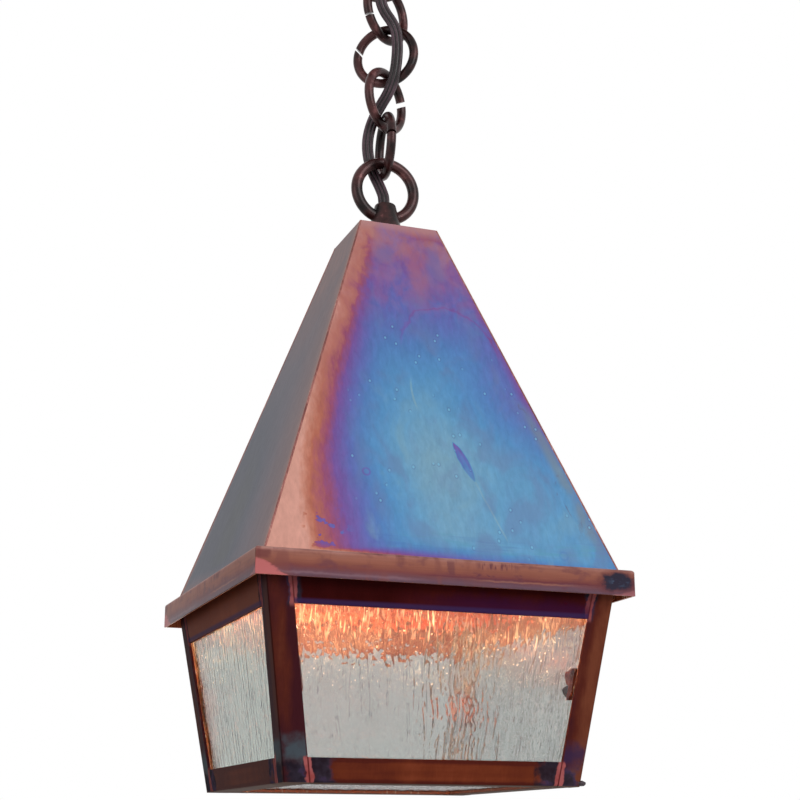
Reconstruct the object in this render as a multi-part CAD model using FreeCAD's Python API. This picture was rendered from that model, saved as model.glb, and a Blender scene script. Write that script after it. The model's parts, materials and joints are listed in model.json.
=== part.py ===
import FreeCAD, Part
import math
import os

# Copper pendant lantern, hung from a ceiling canopy on four split chain links.
# Sizes are in millimetres, +Z is up and the front pane faces -Y.
# The origin is the centre of the ceiling strap's top face, so the lantern hangs below Z = 0.

# Roof: four sheets folded into slope, ledge and fascia, closed by a flat cap
SHEET = 1.0  # copper sheet of the roof and the canopy
EAVES_WIDTH = 190.0  # across the fascia
LEDGE = 5.5  # from the foot of the slopes out to the fascia
ROOF_TOP_WIDTH = 44.0  # across the slopes at the cap
ROOF_HEIGHT = 195.0  # ledge to cap
FASCIA_HEIGHT = 12.7
FASCIA_BEND = 1.6  # outer radius where the ledge folds down into the fascia
SEAM = 0.1  # soldered joint between neighbouring copper pieces

# Cage: tapered frame of four angle posts, with rails between them
CAGE_SEAT = 0.5  # width of the posts' tops that bears on the underside of the ledge
CAGE_HEIGHT = 100.8
CAGE_TAPER = 16.0  # how far a post leans in over that height
BAR = 1.5  # thickness of posts and rails
BAR_BEND = 1.6  # outer radius of their folds
POST_FLANGE = 12.0
TOP_RAIL_HEIGHT = 22.4
BOTTOM_RAIL_HEIGHT = 11.3
BOTTOM_FLANGE = 12.7  # inward shelf that carries the glass

# Glass: four side panes held at the corners by folded tabs, and a loose bottom pane
GLASS = 3.0
GLASS_CLEARANCE = 0.2  # between glass and copper
PANE_TOP_DROP = 8.0  # from the ledge's underside to the top of a side pane
TAB_SHEET = 0.5  # each of a tab's two folded layers
TAB_HEIGHT = 15.0
TAB_LEG = 9.0
TAB_CENTRE = 48.0  # above the bottom of the cage

# Hanging loops: ring and tapered boss cast in one, the same above and below the chain
LOOP_OUTER = 40.0
LOOP_WIRE = 6.35
LOOP_RISE = 28.9  # boss seat to ring centre
BOSS_SEAT = 21.0  # boss diameters and height
BOSS_TIP = 11.5
BOSS_HEIGHT = 20.5
BOSS_ROUNDING = 1.5
CANOPY_LOOP_ANGLE = -40.0  # the ring plane's angle about Z, in degrees
HANGING_LOOP_ANGLE = 0.0

# Chain links, from the canopy down, with angles in degrees: the ring plane's about Z, the open
# butt joint's around the ring from its level diameter, and the saw cut's slant there. The last
# value is how far the joint stands open.
LINKS = (
    ("link_1", 32.0, 207.0, 5.0, 1.1),
    ("link_2", -37.0, 163.0, 32.0, 1.2),
    ("link_3", 37.0, 15.0, -12.0, 2.8),
    ("link_4", 82.0, 180.0, 18.0, 1.4),
)
LINK_OUTER = 39.0
LINK_WIRE = 5.26
LINK_GAP = 0.3  # between the wires of linked rings

# Threaded pipe nipples, with their nuts and washer
NIPPLE = 10.0
NIPPLE_BORE = 7.0
NIPPLE_GRIP = 9.0  # length screwed into a boss or a lampholder
THREAD_CLEARANCE = 0.05
HOLE_CLEARANCE = 0.25
NUT_FLATS = 14.3
NUT_HEIGHT = 4.0
WASHER = 20.0
WASHER_SHEET = 1.2

# Ceiling fitting: spun canopy below a slotted strap
CANOPY = 127.0
CANOPY_DEPTH = 22.0
CANOPY_ROUNDING = 9.0
STRAP_LENGTH = 106.0
STRAP_WIDTH = 25.0
STRAP_SHEET = 2.0
SLOT_SPACING = 88.9
SLOT_LENGTH = 10.0
SLOT_WIDTH = 4.6

# Lampholder and bulb
HOLDER_DROP = 10.0  # cap's top to the neck of the lampholder
HOLDER_NECK = 16.0
HOLDER_NECK_HEIGHT = 10.0
HOLDER = 38.0
HOLDER_HEIGHT = 42.0
HOLDER_ROUNDING = 5.0
HOLDER_WALL = 5.0
HOLDER_FLOOR = 10.0
SHELL_SHEET = 0.6
SHELL_SET_BACK = 2.0  # lampholder's mouth to the edge of the screw shell
SHELL_CLEARANCE = 0.2  # around the screw shell and around the bulb's base
BULB_SEAT = 1.0  # shell floor to bulb tip
BULB_TIP = 10.0
BULB_TIP_HEIGHT = 4.0
BULB_NECK_DROP = 0.6  # lampholder's mouth to where the bulb's neck swells
BULB_GLOBE = 60.0
BULB_LENGTH = 105.0

# Lamp cord, laced through the chain
CORD = 4.4
CORD_TOP = -2.0  # upper end, inside the canopy nipple
CORD_TAIL = 28.0  # lower end below the roof cap, inside the lampholder
CORD_BEND_SHARE = 0.45  # of a straight run, taken by the arc at each of its ends
CORD_LACING = (  # x and y in link diameters, and height up the chain from 0 to 1
    (0.0, 0.0, 0.914),
    (-0.051, -0.074, 0.858),
    (-0.133, -0.236, 0.805),
    (-0.221, -0.349, 0.749),
    (-0.169, -0.277, 0.696),
    (0.059, -0.268, 0.643),
    (0.088, -0.277, 0.59),
    (0.083, -0.262, 0.539),
    (0.059, -0.231, 0.494),
    (0.015, -0.138, 0.448),
    (-0.103, -0.011, 0.402),
    (-0.2, 0.074, 0.354),
    (-0.239, 0.129, 0.301),
    (-0.195, 0.174, 0.251),
    (-0.126, 0.139, 0.204),
    (-0.042, 0.063, 0.157),
    (0.0, 0.0, 0.114),
)

# Spacing down the chain: each ring hangs inside the one above it
LOOP_RADIUS = (LOOP_OUTER - LOOP_WIRE) / 2
LINK_RADIUS = (LINK_OUTER - LINK_WIRE) / 2
LOOP_TO_LINK = LOOP_RADIUS + LINK_RADIUS - (LOOP_WIRE + LINK_WIRE) / 2 - LINK_GAP
LINK_TO_LINK = 2 * LINK_RADIUS - LINK_WIRE - LINK_GAP

# Levels, from the ceiling down
Z_CANOPY = -CANOPY_DEPTH
Z_FIRST_LINK = Z_CANOPY - LOOP_RISE - LOOP_TO_LINK
Z_LAST_LINK = Z_FIRST_LINK - (len(LINKS) - 1) * LINK_TO_LINK
Z_ROOF_TOP = Z_LAST_LINK - LOOP_TO_LINK - LOOP_RISE
Z_EAVES = Z_ROOF_TOP - ROOF_HEIGHT
Z_CAGE_TOP = Z_EAVES - SHEET
Z_BOTTOM = Z_CAGE_TOP - CAGE_HEIGHT
Z_HOLDER = Z_ROOF_TOP - HOLDER_DROP
Z_SHOULDER = Z_HOLDER - HOLDER_NECK_HEIGHT
Z_SOCKET = Z_SHOULDER - HOLDER_FLOOR
Z_MOUTH = Z_SHOULDER - HOLDER_HEIGHT

# Slopes, as run over rise, and wall thicknesses measured level across them
ROOF_BASE_WIDTH = EAVES_WIDTH - 2 * LEDGE
ROOF_LEAN = (ROOF_BASE_WIDTH - ROOF_TOP_WIDTH) / 2 / ROOF_HEIGHT
SHEET_ACROSS = SHEET * math.hypot(1, ROOF_LEAN)
LEDGE_INNER = ROOF_BASE_WIDTH / 2 + SHEET * ROOF_LEAN - SHEET_ACROSS
CAGE_TOP_WIDTH = 2 * (LEDGE_INNER + CAGE_SEAT)
CAGE_BOTTOM_WIDTH = CAGE_TOP_WIDTH - 2 * CAGE_TAPER
CAGE_LEAN = CAGE_TAPER / CAGE_HEIGHT
BAR_ACROSS = BAR * math.hypot(1, CAGE_LEAN)
GLASS_ACROSS = GLASS * math.hypot(1, CAGE_LEAN)

SIDES = ("front", "right", "back", "left")
CORNERS = ("front_left", "front_right", "back_right", "back_left")
ORIGIN = FreeCAD.Vector(0, 0, 0)
AXIS_X = FreeCAD.Vector(1, 0, 0)
AXIS_Y = FreeCAD.Vector(0, 1, 0)
AXIS_Z = FreeCAD.Vector(0, 0, 1)
TINY = 1e-4


def rounded_path(points, radii, closed):
    """Wire of straight runs joined by tangent arcs; a radius of 0 leaves a corner sharp."""
    corners = []
    for index, (point, radius) in enumerate(zip(points, radii)):
        if radius == 0:
            corners.append((point, None, point))
            continue
        back = (points[index - 1] - point).normalize()
        ahead = (points[(index + 1) % len(points)] - point).normalize()
        half = back.getAngle(ahead) / 2
        trim = radius / math.tan(half)
        middle = point + (back + ahead).normalize() * (radius / math.sin(half) - radius)
        corners.append((point + back * trim, middle, point + ahead * trim))
    edges = []
    last = corners[-1][2] if closed else None
    for start, middle, end in corners:
        if last is not None and last.distanceToPoint(start) > TINY:
            edges.append(Part.LineSegment(last, start).toShape())
        if middle is not None:
            edges.append(Part.Arc(start, middle, end).toShape())
        last = end
    return Part.Wire(edges)


def spun(corners):
    """Solid turned about Z from the (radius, height, rounding) corners of a closed profile."""
    points = [FreeCAD.Vector(radius, 0, z) for radius, z, _ in corners]
    profile = rounded_path(points, [rounding for _, _, rounding in corners], closed=True)
    return Part.Face(profile).revolve(ORIGIN, AXIS_Z, 360)


def rod(diameter, z_low, z_high):
    """Upright cylinder on the lantern's axis."""
    return Part.makeCylinder(diameter / 2, z_high - z_low, FreeCAD.Vector(0, 0, z_low))


def outline(points, z):
    """Closed level polygon through (x, y) points."""
    corners = [FreeCAD.Vector(x, y, z) for x, y in points]
    return Part.makePolygon(corners + corners[:1])


def plate(points, z_low, z_high):
    """Level plate with a polygon outline."""
    return Part.Face(outline(points, z_low)).extrude(AXIS_Z * (z_high - z_low))


def cage_half(z):
    """Half-width of the cage's outer faces at a height."""
    return CAGE_BOTTOM_WIDTH / 2 + (z - Z_BOTTOM) * CAGE_LEAN


def tapered(section, z_low, z_high):
    """Solid that follows the cage's taper; section gives the outline for the half-width there."""
    wires = [outline(section(cage_half(z)), z) for z in (z_low, z_high)]
    return Part.makeLoft(wires, True, True)


def fillet_between(shape, radius, chosen):
    """Fillet the straight edges whose end points all pass a test."""
    edges = [edge for edge in shape.Edges if all(chosen(v.Point) for v in edge.Vertexes)]
    return shape.makeFillet(radius, edges)


def placed(shape, turn, z):
    """Copy turned about Z and raised."""
    copy = shape.copy()
    copy.rotate(ORIGIN, AXIS_Z, turn)
    copy.translate(AXIS_Z * z)
    return copy


def export(name, shape):
    """Write one piece to its own file."""
    if not shape.isValid() or len(shape.Solids) != 1:
        raise ValueError(f"{name} isn't one valid solid")
    shape.exportStep(f"parts/{name}.step")


def export_around(stem, places, shape):
    """Write four copies of a piece, a quarter turn apart."""
    for index, place in enumerate(places):
        export(f"{stem}_{place}", placed(shape, 360 / len(places) * index, 0))


def roof_panel():
    """Front roof sheet: slope, ledge and fascia folded from one piece, mitred at both ends."""
    top = ROOF_TOP_WIDTH / 2
    base = ROOF_BASE_WIDTH / 2
    eaves = EAVES_WIDTH / 2
    corners = (
        (top, Z_ROOF_TOP, 0),
        (base, Z_EAVES, 0),
        (eaves, Z_EAVES, FASCIA_BEND),
        (eaves, Z_EAVES - FASCIA_HEIGHT, 0),
        (eaves - SHEET, Z_EAVES - FASCIA_HEIGHT, 0),
        (eaves - SHEET, Z_EAVES - SHEET, FASCIA_BEND - SHEET),
        (LEDGE_INNER, Z_EAVES - SHEET, 0),
        (top - SHEET_ACROSS, Z_ROOF_TOP, 0),
    )
    points = [FreeCAD.Vector(-eaves, -out, z) for out, z, _ in corners]
    profile = rounded_path(points, [rounding for _, _, rounding in corners], closed=True)
    strip = Part.Face(profile).extrude(AXIS_X * EAVES_WIDTH)
    mitre = ((0, -SEAM), (-EAVES_WIDTH, -SEAM - EAVES_WIDTH), (EAVES_WIDTH, -SEAM - EAVES_WIDTH))
    return strip.common(plate(mitre, Z_BOTTOM, Z_ROOF_TOP))


def roof_cap():
    """Flat plate that closes the top of the roof, drilled for the nipple."""
    half = ROOF_TOP_WIDTH / 2 - SHEET_ACROSS - SEAM
    square = ((-half, -half), (half, -half), (half, half), (-half, half))
    cap = plate(square, Z_ROOF_TOP - SHEET, Z_ROOF_TOP)
    return cap.cut(rod(NIPPLE + 2 * HOLE_CLEARANCE, Z_ROOF_TOP - SHEET, Z_ROOF_TOP))


def post():
    """Front left angle post, rounded along its outer fold."""

    def section(half):
        inner = BAR_ACROSS - half
        end = POST_FLANGE - half
        return (-half, -half), (end, -half), (end, inner), (inner, inner), (inner, end), (-half, end)

    def on_fold(point):
        half = cage_half(point.z)
        return abs(point.x + half) < TINY and abs(point.y + half) < TINY

    return fillet_between(tapered(section, Z_BOTTOM, Z_CAGE_TOP), BAR_BEND, on_fold)


def rail_section(half):
    """Level section of a front rail, flush with the posts and fitted between their flanges."""
    end = half - POST_FLANGE - SEAM
    return (-end, -half), (end, -half), (end, BAR_ACROSS - half), (-end, BAR_ACROSS - half)


def top_rail():
    """Front rail under the ledge."""
    return tapered(rail_section, Z_CAGE_TOP - TOP_RAIL_HEIGHT, Z_CAGE_TOP)


def bottom_rail():
    """Front bottom rail, an angle whose level shelf is mitred behind the posts."""
    half = CAGE_BOTTOM_WIDTH / 2
    end = half - POST_FLANGE - SEAM
    fold = half - BAR_ACROSS / 2
    behind_post = half - BAR_ACROSS - SEAM
    inner = half - BOTTOM_FLANGE
    right = (
        (end, -fold),
        (end, -behind_post),
        (behind_post - SEAM, -behind_post),
        (inner - SEAM, -inner),
    )
    left = tuple((-x, y) for x, y in reversed(right))
    shelf = plate(right + left, Z_BOTTOM, Z_BOTTOM + BAR)
    upright = tapered(rail_section, Z_BOTTOM, Z_BOTTOM + BOTTOM_RAIL_HEIGHT)

    def on_fold(point):
        return abs(point.z - Z_BOTTOM) < TINY and abs(point.y + half) < TINY

    return fillet_between(upright.fuse(shelf).removeSplitter(), BAR_BEND, on_fold)


def pane_inner(half):
    """Distance from the axis to the inner face of a side pane."""
    return half - BAR_ACROSS - GLASS_CLEARANCE - GLASS_ACROSS


def tab_web():
    """Width of a corner tab's web, measured along a pane: two layers on the diagonal."""
    return TAB_SHEET * math.sqrt(2)


def side_pane():
    """Front pane, standing on the bottom rail's shelf behind the posts and rails."""

    def section(half):
        inner = pane_inner(half)
        end = inner - tab_web() - GLASS_CLEARANCE
        return (-end, -inner - GLASS_ACROSS), (end, -inner - GLASS_ACROSS), (end, -inner), (-end, -inner)

    return tapered(section, Z_BOTTOM + BAR, Z_CAGE_TOP - PANE_TOP_DROP)


def bottom_pane():
    """Loose pane that lies on the four shelves, inside the side panes."""
    z_low = Z_BOTTOM + BAR
    half = pane_inner(cage_half(z_low)) - GLASS_CLEARANCE
    square = ((-half, -half), (half, -half), (half, half), (-half, half))
    return plate(square, z_low, z_low + GLASS)


def glass_tab():
    """Front left folded tab: its web stands in the post's corner and its legs press on two panes."""

    def section(half):
        corner = half - BAR_ACROSS
        outer = pane_inner(half) - GLASS_CLEARANCE / 2
        inner = outer - TAB_SHEET
        web = tab_web()
        right = (
            (web - corner, -corner),
            (web - outer, -outer),
            (TAB_LEG - outer, -outer),
            (TAB_LEG - outer, -inner),
        )
        left = tuple((y, x) for x, y in reversed(right))
        return ((-corner, -corner),) + right + ((-inner, -inner),) + left

    z_low = Z_BOTTOM + TAB_CENTRE - TAB_HEIGHT / 2
    return tapered(section, z_low, z_low + TAB_HEIGHT)


def loop_casting():
    """Ring and boss cast in one: seated on Z = 0, ring in the XZ plane, bored for nipple and cord."""
    boss = Part.makeCone(BOSS_SEAT / 2, BOSS_TIP / 2, BOSS_HEIGHT)

    def on_tip(point):
        return abs(point.z - BOSS_HEIGHT) < TINY

    boss = fillet_between(boss, BOSS_ROUNDING, on_tip)
    ring = Part.makeTorus(LOOP_RADIUS, LOOP_WIRE / 2, AXIS_Z * LOOP_RISE, AXIS_Y)
    bores = rod(NIPPLE_BORE, 0, BOSS_HEIGHT).fuse(rod(NIPPLE + 2 * THREAD_CLEARANCE, 0, NIPPLE_GRIP))
    return boss.fuse(ring).cut(bores).removeSplitter()


def split_link(turn, split_at, slant, opening):
    """Round link about the origin, open at a saw-cut butt joint."""
    ring = Part.makeTorus(LINK_RADIUS, LINK_WIRE / 2, ORIGIN, AXIS_Y)
    seat = FreeCAD.Vector(LINK_RADIUS, 0, 0)
    corner = FreeCAD.Vector(LINK_RADIUS - LINK_WIRE, -LINK_WIRE, -opening / 2)
    saw = Part.makeBox(2 * LINK_WIRE, 2 * LINK_WIRE, opening, corner)
    saw.rotate(seat, AXIS_Y, slant)
    saw.rotate(ORIGIN, AXIS_Y, -split_at)
    return placed(ring.cut(saw), turn, 0)


def nipple(z_low, z_high):
    """Threaded tube between two levels."""
    return rod(NIPPLE, z_low, z_high).cut(rod(NIPPLE_BORE, z_low, z_high))


def hex_nut(z_low):
    """Locknut on a nipple."""
    reach = NUT_FLATS / 2 / math.cos(math.pi / 6)
    angles = [math.pi / 3 * index for index in range(6)]
    corners = [(reach * math.cos(angle), reach * math.sin(angle)) for angle in angles]
    nut = plate(corners, z_low, z_low + NUT_HEIGHT)
    return nut.cut(rod(NIPPLE + 2 * THREAD_CLEARANCE, z_low, z_low + NUT_HEIGHT))


def canopy():
    """Spun dish against the ceiling, with a hole for the nipple in its flat face."""
    rim = CANOPY / 2
    hole = NIPPLE / 2 + HOLE_CLEARANCE
    return spun(
        (
            (rim, 0, 0),
            (rim, Z_CANOPY, CANOPY_ROUNDING),
            (hole, Z_CANOPY, 0),
            (hole, Z_CANOPY + SHEET, 0),
            (rim - SHEET, Z_CANOPY + SHEET, CANOPY_ROUNDING - SHEET),
            (rim - SHEET, 0, 0),
        )
    )


def ceiling_strap():
    """Steel bar screwed to the ceiling box through two slots, threaded for the nipple."""
    end = STRAP_LENGTH / 2
    side = STRAP_WIDTH / 2
    bar = plate(((-end, -side), (end, -side), (end, side), (-end, side)), -STRAP_SHEET, 0)
    bar = bar.cut(rod(NIPPLE + 2 * THREAD_CLEARANCE, -STRAP_SHEET, 0))
    edge = SLOT_WIDTH / 2
    for middle in (-SLOT_SPACING / 2, SLOT_SPACING / 2):
        low = middle - (SLOT_LENGTH - SLOT_WIDTH) / 2
        high = middle + (SLOT_LENGTH - SLOT_WIDTH) / 2
        slot = plate(((low, -edge), (high, -edge), (high, edge), (low, edge)), -STRAP_SHEET, 0)
        for x in (low, high):
            end_hole = rod(SLOT_WIDTH, -STRAP_SHEET, 0)
            end_hole.translate(AXIS_X * x)
            slot = slot.fuse(end_hole)
        bar = bar.cut(slot)
    return bar.removeSplitter()


def shell_radius():
    """Outer radius of the screw shell, which lines the lampholder."""
    return HOLDER / 2 - HOLDER_WALL - SHELL_CLEARANCE


def lampholder():
    """Porcelain lampholder: threaded neck, wire hole and open socket."""
    socket = HOLDER / 2 - HOLDER_WALL
    thread = NIPPLE / 2 + THREAD_CLEARANCE
    return spun(
        (
            (thread, Z_HOLDER, 0),
            (HOLDER_NECK / 2, Z_HOLDER, 0),
            (HOLDER_NECK / 2, Z_SHOULDER, 0),
            (HOLDER / 2, Z_SHOULDER, HOLDER_ROUNDING),
            (HOLDER / 2, Z_MOUTH, 0),
            (socket, Z_MOUTH, 0),
            (socket, Z_SOCKET, 0),
            (NIPPLE_BORE / 2, Z_SOCKET, 0),
            (NIPPLE_BORE / 2, Z_HOLDER - NIPPLE_GRIP, 0),
            (thread, Z_HOLDER - NIPPLE_GRIP, 0),
        )
    )


def screw_shell():
    """Brass shell that lines the socket, with a hole in its floor for the wires."""
    outer = shell_radius()
    z_edge = Z_MOUTH + SHELL_SET_BACK
    return spun(
        (
            (NIPPLE_BORE / 2, Z_SOCKET, 0),
            (outer, Z_SOCKET, 0),
            (outer, z_edge, 0),
            (outer - SHELL_SHEET, z_edge, 0),
            (outer - SHELL_SHEET, Z_SOCKET - SHELL_SHEET, 0),
            (NIPPLE_BORE / 2, Z_SOCKET - SHELL_SHEET, 0),
        )
    )


def bulb():
    """Bulb as one solid: contact tip, screw base and a globe that its neck meets tangentially."""
    z_tip = Z_SOCKET - SHELL_SHEET - BULB_SEAT
    z_base = z_tip - BULB_TIP_HEIGHT
    z_neck = Z_MOUTH - BULB_NECK_DROP
    globe = BULB_GLOBE / 2
    z_globe = z_tip - BULB_LENGTH + globe
    base = shell_radius() - SHELL_SHEET - SHELL_CLEARANCE
    lean = math.atan2(base, z_neck - z_globe) + math.acos(globe / math.hypot(base, z_neck - z_globe))
    touch = FreeCAD.Vector(globe * math.sin(lean), 0, z_globe + globe * math.cos(lean))
    side = FreeCAD.Vector(globe, 0, z_globe)
    bottom = FreeCAD.Vector(0, 0, z_globe - globe)
    corners = [
        bottom,
        FreeCAD.Vector(0, 0, z_tip),
        FreeCAD.Vector(BULB_TIP / 2, 0, z_tip),
        FreeCAD.Vector(base, 0, z_base),
        FreeCAD.Vector(base, 0, z_neck),
        touch,
    ]
    edges = [Part.LineSegment(a, b).toShape() for a, b in zip(corners, corners[1:])]
    edges.append(Part.Arc(touch, side, bottom).toShape())
    return Part.Face(Part.Wire(edges)).revolve(ORIGIN, AXIS_Z, 360)


def lamp_cord():
    """Cord as a plain tube along straight runs joined by the largest tangent arcs they allow."""
    chain = Z_CANOPY - Z_ROOF_TOP
    points = [FreeCAD.Vector(0, 0, CORD_TOP)]
    for x, y, height in CORD_LACING:
        points.append(FreeCAD.Vector(x * LINK_OUTER, y * LINK_OUTER, Z_ROOF_TOP + height * chain))
    points.append(FreeCAD.Vector(0, 0, Z_ROOF_TOP - CORD_TAIL))
    radii = [0]
    for before, point, after in zip(points, points[1:], points[2:]):
        run = min(before.distanceToPoint(point), point.distanceToPoint(after))
        turn = (point - before).getAngle(after - point)
        radii.append(CORD_BEND_SHARE * run / math.tan(turn / 2))
    radii.append(0)
    path = rounded_path(points, radii, closed=False)
    ring = Part.Wire(Part.makeCircle(CORD / 2, points[0], points[1] - points[0]))
    tube = path.makePipeShell([ring], True, False)
    share = tube.Volume / (math.pi * CORD**2 / 4 * path.Length)
    print("cord radii", [round(radius, 1) for radius in radii[1:-1]])
    print(f"cord length {path.Length:.1f}, volume over section times length {share:.4f}")
    return tube


def main():
    """Build and write every piece."""
    os.makedirs("parts", exist_ok=True)
    casting = loop_casting()
    hanging_canopy_loop = casting.copy()
    hanging_canopy_loop.rotate(ORIGIN, AXIS_X, 180)

    export("ceiling_strap", ceiling_strap())
    export("canopy", canopy())
    export("canopy_nipple", nipple(Z_CANOPY - NIPPLE_GRIP, 0))
    export("canopy_locknut", hex_nut(-STRAP_SHEET - NUT_HEIGHT))
    export("canopy_loop", placed(hanging_canopy_loop, CANOPY_LOOP_ANGLE, Z_CANOPY))
    for index, (name, turn, split_at, slant, opening) in enumerate(LINKS):
        link = split_link(turn, split_at, slant, opening)
        export(name, placed(link, 0, Z_FIRST_LINK - index * LINK_TO_LINK))
    export("hanging_loop", placed(casting, HANGING_LOOP_ANGLE, Z_ROOF_TOP))

    z_nut = Z_ROOF_TOP - SHEET - WASHER_SHEET - NUT_HEIGHT
    washer = rod(WASHER, z_nut + NUT_HEIGHT, Z_ROOF_TOP - SHEET)
    export("roof_washer", washer.cut(rod(NIPPLE + 2 * HOLE_CLEARANCE, z_nut, Z_ROOF_TOP)))
    export("roof_locknut", hex_nut(z_nut))
    export("roof_nipple", nipple(Z_HOLDER - NIPPLE_GRIP, Z_ROOF_TOP + NIPPLE_GRIP))
    export("roof_cap", roof_cap())
    export_around("roof_panel", SIDES, roof_panel())

    export_around("post", CORNERS, post())
    export_around("top_rail", SIDES, top_rail())
    export_around("bottom_rail", SIDES, bottom_rail())
    export_around("pane", SIDES, side_pane())
    export_around("glass_tab", CORNERS, glass_tab())
    export("bottom_pane", bottom_pane())

    export("lampholder", lampholder())
    export("screw_shell", screw_shell())
    export("bulb", bulb())
    export("lamp_cord", lamp_cord())


main()
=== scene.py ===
"""Looks of a copper pendant lantern, built around its solids. Lengths are in metres unless named mm."""

import functools
import json
import logging
import math
from dataclasses import dataclass
from enum import Enum
from typing import Any, Union

import bmesh
import bpy
from mathutils import Matrix, Vector, noise

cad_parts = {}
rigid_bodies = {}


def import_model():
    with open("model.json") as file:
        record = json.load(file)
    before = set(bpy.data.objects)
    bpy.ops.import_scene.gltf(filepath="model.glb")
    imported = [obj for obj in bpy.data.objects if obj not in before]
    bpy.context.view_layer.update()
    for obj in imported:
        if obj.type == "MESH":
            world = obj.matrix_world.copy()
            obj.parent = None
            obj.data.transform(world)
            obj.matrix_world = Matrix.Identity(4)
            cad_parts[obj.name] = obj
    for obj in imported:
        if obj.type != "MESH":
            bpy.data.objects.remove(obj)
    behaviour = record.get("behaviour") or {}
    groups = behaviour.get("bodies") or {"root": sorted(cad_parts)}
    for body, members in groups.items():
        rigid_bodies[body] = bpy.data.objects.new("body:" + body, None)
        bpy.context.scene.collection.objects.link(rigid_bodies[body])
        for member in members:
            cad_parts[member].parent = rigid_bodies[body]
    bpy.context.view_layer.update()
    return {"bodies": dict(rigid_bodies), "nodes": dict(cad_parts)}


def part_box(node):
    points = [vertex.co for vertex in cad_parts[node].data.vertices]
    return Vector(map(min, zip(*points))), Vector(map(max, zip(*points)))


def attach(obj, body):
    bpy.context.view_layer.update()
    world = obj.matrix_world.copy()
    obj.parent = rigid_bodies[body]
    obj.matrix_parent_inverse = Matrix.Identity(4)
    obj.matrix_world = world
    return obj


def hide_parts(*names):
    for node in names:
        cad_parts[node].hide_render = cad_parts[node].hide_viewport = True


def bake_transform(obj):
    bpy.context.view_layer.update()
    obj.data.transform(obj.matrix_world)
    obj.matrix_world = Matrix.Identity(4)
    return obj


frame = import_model()
log = logging.getLogger("lantern")

MM = 0.001
SAME_LEVEL = 1e-5
# Levels of the lantern in millimetres, from the ceiling down
ROOF_TOP_MM = -219.52
EAVES_MM = -414.52
BOTTOM_MM = -516.32

Material = bpy.types.Material
Rgb = tuple[int, int, int]
Triple = tuple[float, float, float]
Colour = tuple[float, float, float, float]
Stops = tuple[tuple[float, Colour], ...]
Number = Union["Field", float]
Input = Union["Field", float, Colour, Triple]
Sockets = dict[Union[str, int], Input]


def screen(red: int, green: int, blue: int) -> Colour:
    """Turn an 8-bit screen colour into the linear one that shaders use.

    Args:
        red, green, blue: Levels from 0 to 255.

    Returns:
        The linear colour with an alpha of 1.
    """
    levels = [level / 255 for level in (red, green, blue)]
    linear = [s / 12.92 if s <= 0.04045 else ((s + 0.055) / 1.055) ** 2.4 for s in levels]
    return (linear[0], linear[1], linear[2], 1.0)


def shades(*rows: tuple[float, int, int, int]) -> Stops:
    """Make a ramp's stops from rows of position, red, green and blue."""
    return tuple((row[0], screen(*row[1:])) for row in rows)


class Field:
    """A shader socket whose operators add Math nodes."""

    def __init__(self, graph: "Graph", socket: bpy.types.NodeSocket) -> None:
        """Keep the graph that the socket belongs to."""
        self.graph = graph
        self.socket = socket

    def _math(self, operation: str, *terms: Number) -> "Field":
        """Add a Math node.

        Args:
            operation: The node's operation.
            terms: Its inputs in order.

        Returns:
            The node's result.
        """
        made = self.graph.node("ShaderNodeMath", {"operation": operation}, dict(enumerate(terms)))
        return Field(self.graph, made.outputs[0])

    def __add__(self, other: Number) -> "Field":
        """Sum."""
        return self._math("ADD", self, other)

    def __radd__(self, other: float) -> "Field":
        """Sum with a number on the left."""
        return self._math("ADD", other, self)

    def __sub__(self, other: Number) -> "Field":
        """Difference."""
        return self._math("SUBTRACT", self, other)

    def __rsub__(self, other: float) -> "Field":
        """Difference from a number."""
        return self._math("SUBTRACT", other, self)

    def __mul__(self, other: Number) -> "Field":
        """Product."""
        return self._math("MULTIPLY", self, other)

    def __rmul__(self, other: float) -> "Field":
        """Product with a number on the left."""
        return self._math("MULTIPLY", other, self)

    def __truediv__(self, other: Number) -> "Field":
        """Quotient."""
        return self._math("DIVIDE", self, other)

    def __neg__(self) -> "Field":
        """Opposite."""
        return self._math("MULTIPLY", self, -1.0)

    def __abs__(self) -> "Field":
        """Size without sign."""
        return self._math("ABSOLUTE", self)

    def __pow__(self, other: float) -> "Field":
        """Power."""
        return self._math("POWER", self, other)

    def __rpow__(self, other: float) -> "Field":
        """A number to this power."""
        return self._math("POWER", other, self)

    def sine(self) -> "Field":
        """Sine of an angle in radians."""
        return self._math("SINE", self)

    def least(self, other: Number) -> "Field":
        """The smaller of two values."""
        return self._math("MINIMUM", self, other)

    def most(self, other: Number) -> "Field":
        """The larger of two values."""
        return self._math("MAXIMUM", self, other)

    def soft_least(self, other: Number, reach: float) -> "Field":
        """The smaller of two values, rounded where they cross."""
        return self._math("SMOOTH_MIN", self, other, reach)

    def step(self, low: float, high: float) -> "Field":
        """Rise smoothly from 0 to 1 between two values.

        Args:
            low: Where the rise starts.
            high: Where it ends; below low, the step falls.

        Returns:
            The share from 0 to 1.
        """
        settings = {"interpolation_type": "SMOOTHSTEP"}
        made = self.graph.node("ShaderNodeMapRange", settings, {0: self, 1: low, 2: high})
        return Field(self.graph, made.outputs[0])

    def within(self, low: float, high: float, soft: float) -> "Field":
        """Share from 0 to 1 that is 1 between two values, with soft edges."""
        return self.step(low - soft, low + soft) * self.step(high + soft, high - soft)

    def coat(self, rgb: Rgb, share: "Field") -> "Field":
        """Lay a screen colour over this colour."""
        return self.graph.paint(self, screen(*rgb), share)


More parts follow.
